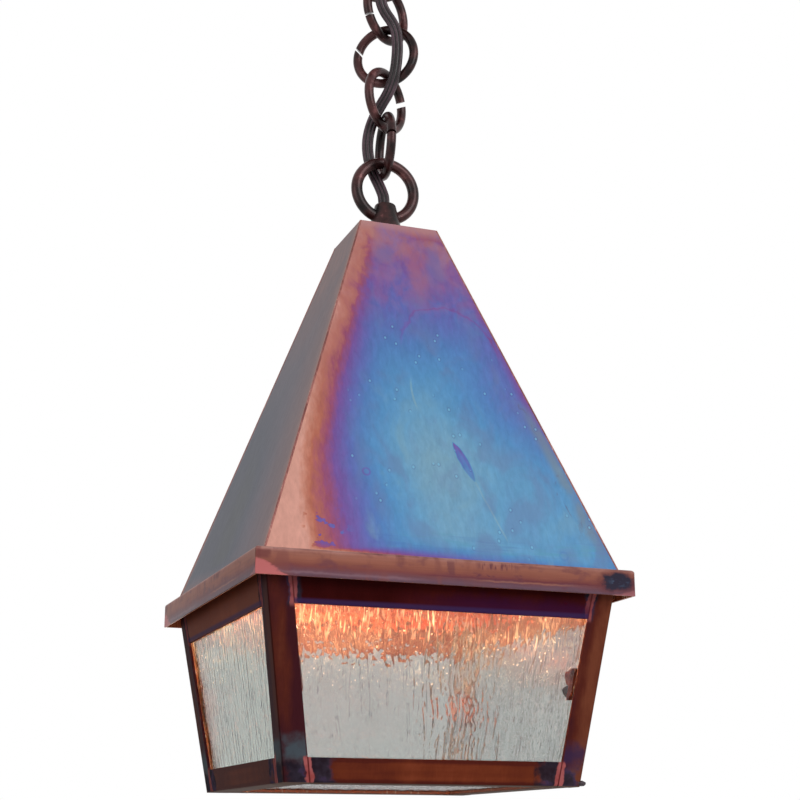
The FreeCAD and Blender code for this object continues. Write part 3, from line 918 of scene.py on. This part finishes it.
@dataclass(frozen=True)
class LitGlass:
    """Frosted bulb glass, lit from inside above its brass screw base."""

    name: str = "bulb_glass"
    base_mm: float = -282.0
    pitch_mm: float = 3.6

    def material(self) -> Material:
        """Build the finish."""
        graph = Graph.named(self.name)
        point = graph.point()
        _, _, z = graph.axes(point)
        cap = z.step(self.base_mm, self.base_mm + 1)
        thread = (z * (2 * math.pi / self.pitch_mm)).sine()
        grain = graph.noise(point, (0.6, 0.6, 0.6), 3.0, 2.0)
        colour = graph.paint(screen(250, 240, 222), screen(186, 178, 160), cap)
        glow = graph.paint(screen(255, 206, 140), BLACK, cap)
        sockets = {
            "Base Color": graph.shade(colour, 0.9 + 0.1 * grain),
            "Roughness": 0.35 + 0.1 * grain,
            "Metallic": cap * 0.9,
            "Emission Color": glow,
            "Emission Strength": 6.0,
        }
        return graph.finish(sockets, grain * 0.1 + thread * cap, depth_mm=0.5)


@dataclass(frozen=True)
class Porcelain:
    """Glazed white porcelain."""

    name: str = "porcelain"

    def material(self) -> Material:
        """Build the finish."""
        graph = Graph.named(self.name)
        point = graph.point()
        cloud = graph.noise(point, (14, 14, 14), 1.0, 3.0)
        speck = graph.cells(point, (3.0, 3.0, 3.0), 5.0)
        colour = graph.paint(screen(232, 228, 218), screen(214, 206, 192), cloud.step(0.4, 0.7))
        colour = colour.coat((120, 104, 88), speck.step(0.07, 0.04) * 0.6)
        sockets = {"Base Color": colour, "Roughness": 0.16 + 0.1 * cloud, "Coat Weight": 0.3}
        return graph.finish(sockets, cloud, depth_mm=0.08)


@dataclass(frozen=True)
class CordJacket:
    """Dark brown moulded cord, with painted shade in its grooves."""

    name: str = "cord_jacket"

    def material(self) -> Material:
        """Build the finish."""
        graph = Graph.named(self.name)
        point = graph.point()
        cloud = graph.noise(point, (9, 9, 16), 2.0, 3.0)
        grain = graph.noise(point, (0.5, 0.5, 1.4), 6.0, 2.0)
        crest = graph.marked("crest")
        worn = (cloud * 0.7 + grain * 0.3).step(0.35, 0.7)
        colour = graph.paint(screen(27, 14, 17), screen(86, 63, 73), worn)
        # Painted shade: the grooves between the cores are near black
        colour = graph.paint(screen(5, 3, 3), colour, crest.step(0.78, 0.98))
        sockets = {"Base Color": colour, "Roughness": 0.26 + 0.16 * grain, "Specular IOR Level": 0.35}
        return graph.finish(sockets, grain, depth_mm=0.04)


def plated_steel() -> Material:
    """Zinc-plated steel of straps, nipples and nuts, as the frame brings it."""
    return bpy.data.materials["plated_steel"]


def dress(node: str, material: Material) -> None:
    """Give a solid its material.

    Args:
        node: The solid's name.
        material: Its finish.
    """
    solid = frame["nodes"][node]
    solid.data.materials.clear()
    solid.data.materials.append(material)
    log.info("dressed %s", node)


def shade_round(mesh: bmesh.types.BMesh, faces: set[bmesh.types.BMFace]) -> None:
    """Shade some faces round, with a crisp edge between them and the flat ones.

    Args:
        mesh: The geometry.
        faces: Its round faces.
    """
    for face in mesh.faces:
        face.smooth = face in faces
    for edge in mesh.edges:
        edge.smooth = all(face.smooth for face in edge.link_faces)


def add_object(name: str, data: bpy.types.ID) -> bpy.types.Object:
    """Add an object to the scene, at the origin.

    Args:
        name: The object's name.
        data: Its mesh, camera or light.

    Returns:
        The object.
    """
    made = bpy.data.objects.new(name, data)
    bpy.context.scene.collection.objects.link(made)
    return made


def add_mesh(name: str, mesh: bmesh.types.BMesh, material: Material) -> bpy.types.Object:
    """Add a finished mesh to the scene.

    Args:
        name: The object's name.
        mesh: Its geometry, in place.
        material: Its finish.

    Returns:
        The object.
    """
    data = bpy.data.meshes.new(name)
    mesh.to_mesh(data)
    mesh.free()
    data.materials.append(material)
    return add_object(name, data)


def piece(name: str, mesh: bmesh.types.BMesh, material: Material) -> bpy.types.Object:
    """Make an object at the origin from a finished mesh.

    Args:
        name: The piece's name.
        mesh: Its geometry, in place.
        material: Its finish.

    Returns:
        The object, not yet on a body.
    """
    made = add_mesh(name, mesh, material)
    log.info("built %s with %d faces", name, len(made.data.polygons))
    return made


@dataclass
class Studio:
    """Camera at the photograph's place, soft lamps, a pale floor and a white surround."""

    camera_at: Triple = (-0.2708, -0.7516, -0.5423)
    yaw_deg: float = 20.409
    pitch_deg: float = 16.058
    lens_mm: float = 69.39
    sensor_mm: float = 36.0
    ambient: float = 0.42
    floor_z: float = -2.1
    floor_half: float = 5.0
    aim: Triple = (0.0, 0.0, -0.36)

    def set_camera(self) -> None:
        """Place the camera."""
        data = bpy.data.cameras.new("camera")
        data.lens = self.lens_mm
        data.sensor_width = self.sensor_mm
        camera = add_object("camera", data)
        camera.location = self.camera_at
        camera.rotation_euler = (math.radians(90 + self.pitch_deg), 0.0, math.radians(-self.yaw_deg))
        bpy.context.scene.camera = camera

    def lamp(self, name: str, place: Triple, size: float, watts: float) -> None:
        """Add a square area lamp that faces the lantern.

        Args:
            name: The lamp's name.
            place: Where it stands.
            size: Its width.
            watts: Its power.
        """
        data = bpy.data.lights.new(name, "AREA")
        data.size = size
        data.energy = watts
        lamp = add_object(name, data)
        lamp.location = place
        lamp.rotation_euler = (Vector(self.aim) - Vector(place)).to_track_quat("-Z", "Y").to_euler()
        lamp.visible_camera = False
        lamp.visible_transmission = False

    def surround(self) -> None:
        """Make the world white to the eye and in gloss and glass, and a soft light otherwise."""
        world = bpy.data.worlds.new("surround")
        bpy.context.scene.world = world
        graph = Graph(world)
        seen = graph.in_view()
        plain = {"Color": WHITE}
        light = graph.node("ShaderNodeBackground", {}, {**plain, "Strength": self.ambient})
        white = graph.node("ShaderNodeBackground", {}, {**plain, "Strength": 1.0})
        shaders = {1: Field(graph, light.outputs[0]), 2: Field(graph, white.outputs[0])}
        mixed = graph.node("ShaderNodeMixShader", {}, {0: seen, **shaders})
        graph.connect(world.node_tree.nodes["World Output"], {0: Field(graph, mixed.outputs[0])})

    def floor(self) -> None:
        """Lay the pale floor."""
        graph = Graph.named("pale_floor")
        point = graph.point()
        grain = graph.noise(point, (160, 160, 160), 1.0, 3.0)
        colour = graph.paint(screen(236, 236, 234), screen(228, 228, 226), grain)
        glow = graph.paint(BLACK, screen(190, 190, 189), graph.in_view())
        sockets = {
            "Base Color": colour,
            "Roughness": 0.85,
            "Emission Color": glow,
            "Emission Strength": 1.0,
        }
        material = graph.finish(sockets, grain, depth_mm=0.1)
        mesh = bmesh.new()
        place = Matrix.Translation((0.0, 0.0, self.floor_z))
        bmesh.ops.create_grid(mesh, x_segments=2, y_segments=2, size=self.floor_half, matrix=place)
        made = add_mesh("floor", mesh, material)

    def build(self) -> None:
        """Set up the whole studio."""
        bpy.context.scene.view_settings.view_transform = "Standard"
        self.set_camera()
        self.surround()
        self.lamp("key", place=(0.75, -1.7, 0.35), size=1.2, watts=18.0)
        self.lamp("fill", place=(-1.6, -0.7, -0.1), size=1.2, watts=6.0)
        self.floor()
        log.info("studio ready")


@dataclass
class Cord:
    """Flat three-core cord laced through the chain, one piece across each joint of the chain."""

    lobe: float = 1.28 * MM
    spread: float = 1.95 * MM
    facing: Triple = (0.937, -0.349, 0.0)
    sides: int = 48
    route: tuple[Triple, ...] = (
        (0.0, 0.0, -0.002),
        (0.0, 0.0, -0.0390),
        (-0.0020, -0.0029, -0.0500),
        (-0.0052, -0.0092, -0.0605),
        (-0.0086, -0.0136, -0.0716),
        (-0.0066, -0.0108, -0.0820),
        (0.0023, -0.0105, -0.0925),
        (0.0034, -0.0108, -0.1030),
        (0.0032, -0.0102, -0.1131),
        (0.0023, -0.0090, -0.1219),
        (0.0006, -0.0054, -0.1310),
        (-0.0040, -0.0004, -0.1401),
        (-0.0078, 0.0029, -0.1496),
        (-0.0093, 0.0050, -0.1601),
        (-0.0076, 0.0068, -0.1699),
        (-0.0049, 0.0054, -0.1792),
        (-0.0016, 0.0025, -0.1885),
        (0.0, 0.0, -0.1970),
        (0.0, 0.0, -0.2475),
    )
    bodies: tuple[str, ...] = ("canopy", "link_1", "link_2", "link_3", "link_4", "lantern")
    cuts: tuple[float, ...] = (-0.056, -0.0814, -0.1092, -0.1374, -0.1656, -0.194)

    def line(self) -> list[Vector]:
        """Points along the route's smooth spline, from the canopy down."""
        curve = bpy.data.curves.new("cord_route", "CURVE")
        curve.dimensions = "3D"
        spline = curve.splines.new("NURBS")
        spline.points.add(len(self.route) - 1)
        for control, place in zip(spline.points, self.route):
            control.co = (*place, 1.0)
        spline.order_u = 3
        spline.use_endpoint_u = True
        spline.resolution_u = 8
        holder = bpy.data.objects.new("cord_route", curve)
        data = bpy.data.meshes.new_from_object(holder)
        points = [vertex.co.copy() for vertex in data.vertices]
        bpy.data.objects.remove(holder)
        bpy.data.curves.remove(curve)
        bpy.data.meshes.remove(data)
        return points

    def section(self, angle: float) -> tuple[float, float]:
        """Point of the cord's outline in a direction, as width and thickness.

        Args:
            angle: The direction from the middle core.

        Returns:
            The distances along the cord's width and thickness.
        """
        across, rise = math.cos(angle), math.sin(angle)
        reach = 0.0
        for middle in (-self.spread, 0.0, self.spread):
            inside = (across * middle) ** 2 - middle**2 + self.lobe**2
            if inside > 0:
                reach = max(reach, across * middle + math.sqrt(inside))
        return reach * across, reach * rise

    def crest_of(self, across: float, rise: float) -> float:
        """How far a point of the outline stands out of the grooves, from about 0.6 to 1."""
        return abs(rise) / self.lobe if abs(across) < self.spread else 1.0

    def stations(self, points: list[Vector]) -> list[tuple[Vector, Vector, Vector]]:
        """Give each point of the line with the cord's width and thickness directions there.

        Args:
            points: The line.

        Returns:
            Point, direction of the width and direction of the thickness, along the line.
        """
        made = []
        for index, point in enumerate(points):
            after = points[min(index + 1, len(points) - 1)]
            before = points[max(index - 1, 0)]
            run = (after - before).normalized()
            thick = run.cross(Vector(self.facing)).normalized()
            made.append((point, thick.cross(run), thick))
        return made

    def tube(self, stations: list[tuple[Vector, Vector, Vector]]) -> bmesh.types.BMesh:
        """Sweep the outline along part of the cord.

        Args:
            stations: Points with their directions.

        Returns:
            The closed tube.
        """
        mesh = bmesh.new()
        crest = mesh.verts.layers.float.new("crest")
        outline = [self.section(2 * math.pi * index / self.sides) for index in range(self.sides)]
        ring = bmesh.ops.create_circle(mesh, cap_ends=False, segments=self.sides, radius=self.lobe)["verts"]
        edges = list(mesh.edges)
        bmesh.ops.contextual_create(mesh, geom=edges)
        for index, (point, wide, thick) in enumerate(stations):
            if index:
                grown = bmesh.ops.extrude_edge_only(mesh, edges=edges)["geom"]
                edges = [part for part in grown if isinstance(part, bmesh.types.BMEdge)]
                edges = [edge for edge in edges if all(v in grown for v in edge.verts)]
                ring = [part for part in grown if isinstance(part, bmesh.types.BMVert)]
            for vertex, (across, rise) in zip(ring, outline):
                vertex.co = point + wide * across + thick * rise
                vertex[crest] = self.crest_of(across, rise)
        bmesh.ops.contextual_create(mesh, geom=edges)
        bmesh.ops.recalc_face_normals(mesh, faces=mesh.faces)
        shade_round(mesh, {face for face in mesh.faces if len(face.verts) == 4})
        return mesh

    def build(self) -> None:
        """Make the cord's pieces, each from the middle of one ring to the middle of the next."""
        material = CordJacket().material()
        stations = self.stations(self.line())
        splits = [next(i for i, (point, _, _) in enumerate(stations) if point.z <= cut) for cut in self.cuts]
        starts = [0, *splits[1:-1]]
        ends = [*splits[1:-1], len(stations) - 1]
        for index, (above, below) in enumerate(zip(self.bodies, self.bodies[1:])):
            run = stations[starts[index] : ends[index] + 1]
            part = piece(f"cord_{index + 1}", self.tube(run), material)
            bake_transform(part)
            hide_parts("lamp_cord")


@dataclass
class Chain:
    """Split links and the two loop castings."""

    nodes: tuple[str, ...] = ("link_1", "link_2", "link_3", "link_4", "hanging_loop", "canopy_loop")

    def build(self) -> None:
        """Dress the chain."""
        for node in self.nodes:
            dress(node, CHAIN_COPPER.material())


@dataclass
class CeilingFitting:
    """Canopy and the steel parts behind it."""

    steel_nodes: tuple[str, ...] = ("ceiling_strap", "canopy_nipple", "canopy_locknut")

    def build(self) -> None:
        """Dress the fitting."""
        dress("canopy", CANOPY_COPPER.material())
        for node in self.steel_nodes:
            dress(node, plated_steel())


@dataclass
class Roof:
    """Four folded sheets with soldered hips, and the cap."""

    base: float = 89.5 * MM
    top: float = 22.0 * MM
    bead: float = 0.55 * MM
    bead_gap: float = 1.0 * MM
    bead_sink: float = 0.75
    bead_facets: int = 12

    def seams(self) -> None:
        """Run a thin bead of solder up each hip."""
        mesh = bmesh.new()
        low = Vector((-self.base, -self.base, EAVES_MM * MM))
        high = Vector((-self.top, -self.top, ROOF_TOP_MM * MM))
        run = high - low
        inward = Vector((1, 1, 0)).normalized() * self.bead * self.bead_sink
        turned = run.to_track_quat("Z", "Y").to_matrix().to_4x4()
        place = Matrix.Translation((low + high) / 2 + inward) @ turned
        for side in Side:
            bmesh.ops.create_cone(
                mesh,
                cap_ends=True,
                segments=self.bead_facets,
                radius1=self.bead,
                radius2=self.bead,
                depth=run.length - self.bead_gap,
                matrix=side.turn() @ place,
            )
        shade_round(mesh, {face for face in mesh.faces if len(face.verts) == 4})
        made = piece("hip_seams", mesh, HIP_SOLDER.material())
        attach(made, "lantern")

    def build(self) -> None:
        """Dress the sheets and solder them."""
        finishes = (
            RoofCopper(Side.FRONT, HEAT_BLUES, shift=0.0, right_film=0.2, burn=1.0, marks=True),
            RoofCopper(Side.RIGHT, HEAT_BLUES, shift=40.0, right_film=0.15, burn=0.6),
            RoofCopper(Side.BACK, HEAT_BLUES, shift=80.0, right_film=0.2, burn=0.9),
            # The left sheet takes grey heat colours: a painted reflection over its oxide film
            RoofCopper(Side.LEFT, REFLECTED_HEAT_GREYS, shift=120.0, stained=False, clean_mm=3.0, wet_film=0.0),
        )
        for finish in finishes:
            dress(f"roof_panel_{finish.side.label}", finish.material())
        dress("roof_cap", ROOF_CAP_COPPER.material())
        self.seams()


@dataclass
class Cage:
    """Angle posts, rails and glass tabs, with lumps of solder."""

    drip_at: Triple = (73.9, -72.9, -514.7)
    drip_size: Triple = (2.1, 1.5, 1.3)
    fold_at: Triple = (67.9, -75.2, -465.4)
    fold_size: Triple = (2.5, 0.95, 4.2)
    bead_at: Triple = (67.2, -74.2, -471.8)
    bead_size: Triple = (2.9, 0.95, 3.2)
    unevenness: float = 0.22
    dent_share: float = 1.7
    dent_from: Triple = (4.0, 1.0, 2.0)

    def build(self) -> None:
        """Dress the frame."""
        upright = (4.0, 4.0, 80.0)
        level = (70.0, 70.0, 3.0)
        browns = (screen(64, 27, 33), screen(86, 38, 30), screen(112, 60, 43))
        post = CageCopper("post", browns, screen(196, 176, 166), upright, shift=0.0)
        reds = (screen(84, 34, 27), screen(110, 50, 31), screen(132, 64, 42))
        low = CageCopper("bottom_rail", reds, screen(122, 72, 56), level, shift=30.0, painted_glints=0.1)
        # The left top rail is a lighter copy of the same copper, raised to make up for the painted shade on
        # faces that look to the left
        tans = (screen(128, 64, 45), screen(146, 74, 50), screen(160, 84, 56))
        left = CageCopper("top_rail_left", tans, RAW_COPPER, level, shift=70.0)
        # Painted shadow under the eaves: the other top rails are a shaded copy in dark maroons, dimmed
        # further
        eaves_shadow_maroons = (screen(54, 14, 14), screen(64, 18, 18), screen(78, 26, 20))
        high = CageCopper("top_rail", eaves_shadow_maroons, RAW_COPPER, level, shift=60.0, painted_shade_level=0.9)
        far = CageCopper("post_back_left", browns, RAW_COPPER, upright, shift=0.0)
        posts, lows, highs, lefts = (finish.material() for finish in (post, low, high, left))
        for corner in ("front_left", "front_right", "back_right"):
            dress(f"post_{corner}", posts)
        dress("post_back_left", far.material())
        for side in Side:
            dress(f"bottom_rail_{side.label}", lows)
            dress(f"top_rail_{side.label}", lefts if side is Side.LEFT else highs)
        for hand in ("left", "right"):
            dress(f"glass_tab_front_{hand}", TAB_COPPER.material())
            dress(f"glass_tab_back_{hand}", TAB_COPPER_BACK.material())
        self.lump("solder_drip", self.drip_at, self.drip_size, DRIP_SOLDER)
        # The curled fold above takes the tab's copper; the near-black lump of solder below it is coloured as
        # painted shade
        self.lump("tab_fold", self.fold_at, self.fold_size, TAB_COPPER)
        self.lump("tab_bead_shaded", self.bead_at, self.bead_size, SHADED_TAB_SOLDER)

    def lump(self, name: str, at_mm: Triple, size_mm: Triple, finish: Metal) -> None:
        """Set a lump of solder or curled copper on the cage.

        Args:
            name: The piece's name.
            at_mm: Its middle.
            size_mm: Its half sizes.
            finish: Its metal.
        """
        mesh = bmesh.new()
        bmesh.ops.create_icosphere(mesh, subdivisions=4, radius=1.0)
        for vertex in mesh.verts:
            dent = noise.noise(vertex.co * self.dent_share + Vector(self.dent_from))
            swell = 1 + self.unevenness * dent
            vertex.co = vertex.co * swell
        bmesh.ops.scale(mesh, vec=Vector(size_mm) * MM, verts=mesh.verts)
        bmesh.ops.translate(mesh, vec=Vector(at_mm) * MM, verts=mesh.verts)
        shade_round(mesh, set(mesh.faces))
        made = piece(name, mesh, finish.material())
        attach(made, "lantern")


@dataclass
class Glazing:
    """Rain glass: four side panes and a bottom pane, with drawn streaks in the glass itself."""

    thick: float = 3.0 * MM
    depth: float = 0.38 * MM
    columns: int = 440
    rows: int = 200
    left_share: float = 0.45
    first_seed: float = 3.0
    seed_step: float = 31.0
    bottom_seed: float = 150.0

    def relief(self, u: float, v: float, seed: float) -> float:
        """Depth of the pattern as a share from 0 to 1.

        Args:
            u: Position across the streaks, in millimetres.
            v: Position along them, in millimetres.
            seed: Picks another part of the pattern.

        Returns:
            The depth.
        """
        sway = u + 1.2 * noise.noise((u / 12, v / 20, seed + 13))
        calm = 0.3 * noise.noise((u / 15, v / 34, seed + 40)) - 0.28 * self.rounded((v - 52) / 90)
        run = self.rounded(noise.noise((sway / 1.9, v / 28, seed)) - 0.28 - calm)
        bead = self.rounded(noise.noise((sway / 1.8, v / 9, seed + 7)) - 0.33 - calm)
        drop = self.rounded(noise.noise((sway / 1.3, v / 2.6, seed + 21)) - 0.31)
        return 1.0 - 0.42 * run - 0.32 * bead - 0.26 * drop

    @staticmethod
    def rounded(level: float) -> float:
        """Turn a noise level into a drop with a rounded rim, from 0 beside it to 1 on it."""
        share = min(1.0, max(0.0, 0.5 + level * 4.5))
        return share * share * (3 - 2 * share)

    def slab(
        self,
        corners: tuple[Vector, Vector, Vector, Vector],
        inward: Vector,
        depth: float,
        seed: float,
    ) -> bmesh.types.BMesh:
        """Make a pane with its pattern on the outer face.

        Args:
            corners: The outer face's corners, from lower left round to upper left.
            inward: The way through the glass.
            depth: Depth of the pattern.
            seed: Picks the pattern.

        Returns:
            The closed pane.
        """
        mesh = bmesh.new()
        steep = mesh.verts.layers.float.new("steep")
        grid = bmesh.ops.create_grid(mesh, x_segments=self.columns, y_segments=self.rows, size=1.0)["verts"]
        rim = [edge for edge in mesh.edges if edge.is_boundary]
        edge_verts = {vertex for edge in rim for vertex in edge.verts}
        low_left, low_right, high_right, high_left = corners
        for vertex in grid:
            s, t = (vertex.co.x + 1) / 2, (vertex.co.y + 1) / 2
            place = low_left.lerp(low_right, s).lerp(high_left.lerp(high_right, s), t)
            u = (low_right - low_left).length * (s - 0.5) / MM
            v = (high_left - low_left).length * t / MM
            cut = 0.5 if vertex in edge_verts else self.relief(u, v, seed)
            vertex.co = place + inward * depth * cut
        front = set(mesh.faces)
        grown = bmesh.ops.extrude_edge_only(mesh, edges=rim)["geom"]
        back = [part for part in grown if isinstance(part, bmesh.types.BMVert)]
        bmesh.ops.translate(mesh, verts=back, vec=inward * (self.thick - depth * 0.5))
        loop = [edge for edge in mesh.edges if edge.is_boundary]
        bmesh.ops.edgenet_fill(mesh, edges=loop)
        bmesh.ops.recalc_face_normals(mesh, faces=mesh.faces)
        mesh.normal_update()
        for vertex in grid:
            if vertex not in edge_verts:
                vertex[steep] = 1 - abs(vertex.normal.dot(inward))
        shade_round(mesh, front)
        return mesh

    def corners_of(self, node: str) -> tuple[tuple[Vector, Vector, Vector, Vector], Vector]:
        """Outer face of a front pane and the way inwards, read from its solid.

        Args:
            node: The solid's name.

        Returns:
            The four corners from lower left round to upper left, and the inward direction.
        """
        places = [vertex.co for vertex in frame["nodes"][node].data.vertices]
        low = min(place.z for place in places)
        high = max(place.z for place in places)
        found = []
        for level, left in ((low, True), (low, False), (high, False), (high, True)):
            ring = [place for place in places if abs(place.z - level) < SAME_LEVEL]
            front = min(place.y for place in ring)
            row = [place for place in ring if abs(place.y - front) < SAME_LEVEL]
            found.append((min if left else max)(row, key=lambda place: place.x).copy())
        inward = (found[3] - found[0]).cross(found[1] - found[0]).normalized()
        return (found[0], found[1], found[2], found[3]), inward

    def build(self) -> None:
        """Make the five panes."""
        # The second grey is the painted shade on steep sides
        whites = (screen(207, 210, 208), screen(160, 160, 159))
        glass = RainGlass("rain_glass", *whites, WHITE, ior=1.5).material()
        # Painted shade: the left pane is the same rain glass in darker, greener greys
        greys = (screen(156, 168, 158), screen(146, 156, 147))
        shaded = RainGlass("rain_glass_left_shaded", *greys, WHITE, ior=1.5).material()
        # Painted shade: the bottom pane is the same rain glass in dark browns, with its gloss tinted brown
        browns = (screen(114, 98, 93), screen(72, 56, 57), screen(120, 104, 100))
        under = RainGlass("rain_glass_bottom_shaded", *browns, ior=1.1, haze=0.14, glint_strength=0.0).material()
        corners, inward = self.corners_of("pane_front")
        for side in Side:
            depth = self.depth * (self.left_share if side is Side.LEFT else 1.0)
            mesh = self.slab(corners, inward, depth, self.first_seed + self.seed_step * side.value)
            bmesh.ops.transform(mesh, matrix=side.turn(), verts=mesh.verts)
            finish = shaded if side is Side.LEFT else glass
            made = piece(f"rain_pane_{side.label}", mesh, finish)
            made.visible_shadow = False
            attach(made, "lantern")
            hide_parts(f"pane_{side.label}")
        low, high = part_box("bottom_pane")
        square = (
            Vector((low.x, high.y, low.z)),
            Vector((high.x, high.y, low.z)),
            Vector((high.x, low.y, low.z)),
            Vector((low.x, low.y, low.z)),
        )
        mesh = self.slab(square, Vector((0.0, 0.0, 1.0)), self.depth, self.bottom_seed)
        made = piece("rain_pane_bottom", mesh, under)
        made.visible_shadow = False
        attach(made, "lantern")
        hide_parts("bottom_pane")


@dataclass
class Lamp:
    """Lampholder, bulb and the hardware under the roof cap."""

    glow_at: Triple = (0.0, 0.0, -0.372)
    watts: float = 0.8
    glow_colour: Triple = (1.0, 0.84, 0.62)
    glow_size: float = 0.012

    def build(self) -> None:
        """Dress the lamp and light it."""
        dress("lampholder", Porcelain().material())
        dress("screw_shell", FITTING_BRASS.material())
        dress("bulb", LitGlass().material())
        for node in ("roof_nipple", "roof_washer", "roof_locknut"):
            dress(node, plated_steel())
        data = bpy.data.lights.new("bulb_glow", "POINT")
        data.energy = self.watts
        data.color = self.glow_colour
        data.shadow_soft_size = self.glow_size
        glow = add_object("bulb_glow", data)
        glow.location = self.glow_at
        glow.visible_camera = False
        glow.parent = frame["bodies"]["lantern"]


def main() -> None:
    """Build the lantern's looks in order."""
    logging.basicConfig(level=logging.INFO, format="%(name)s: %(message)s")
    for part in (Studio(), Cord(), Chain(), CeilingFitting(), Roof(), Cage(), Glazing(), Lamp()):
        part.build()


if __name__ == "__main__":
    main()
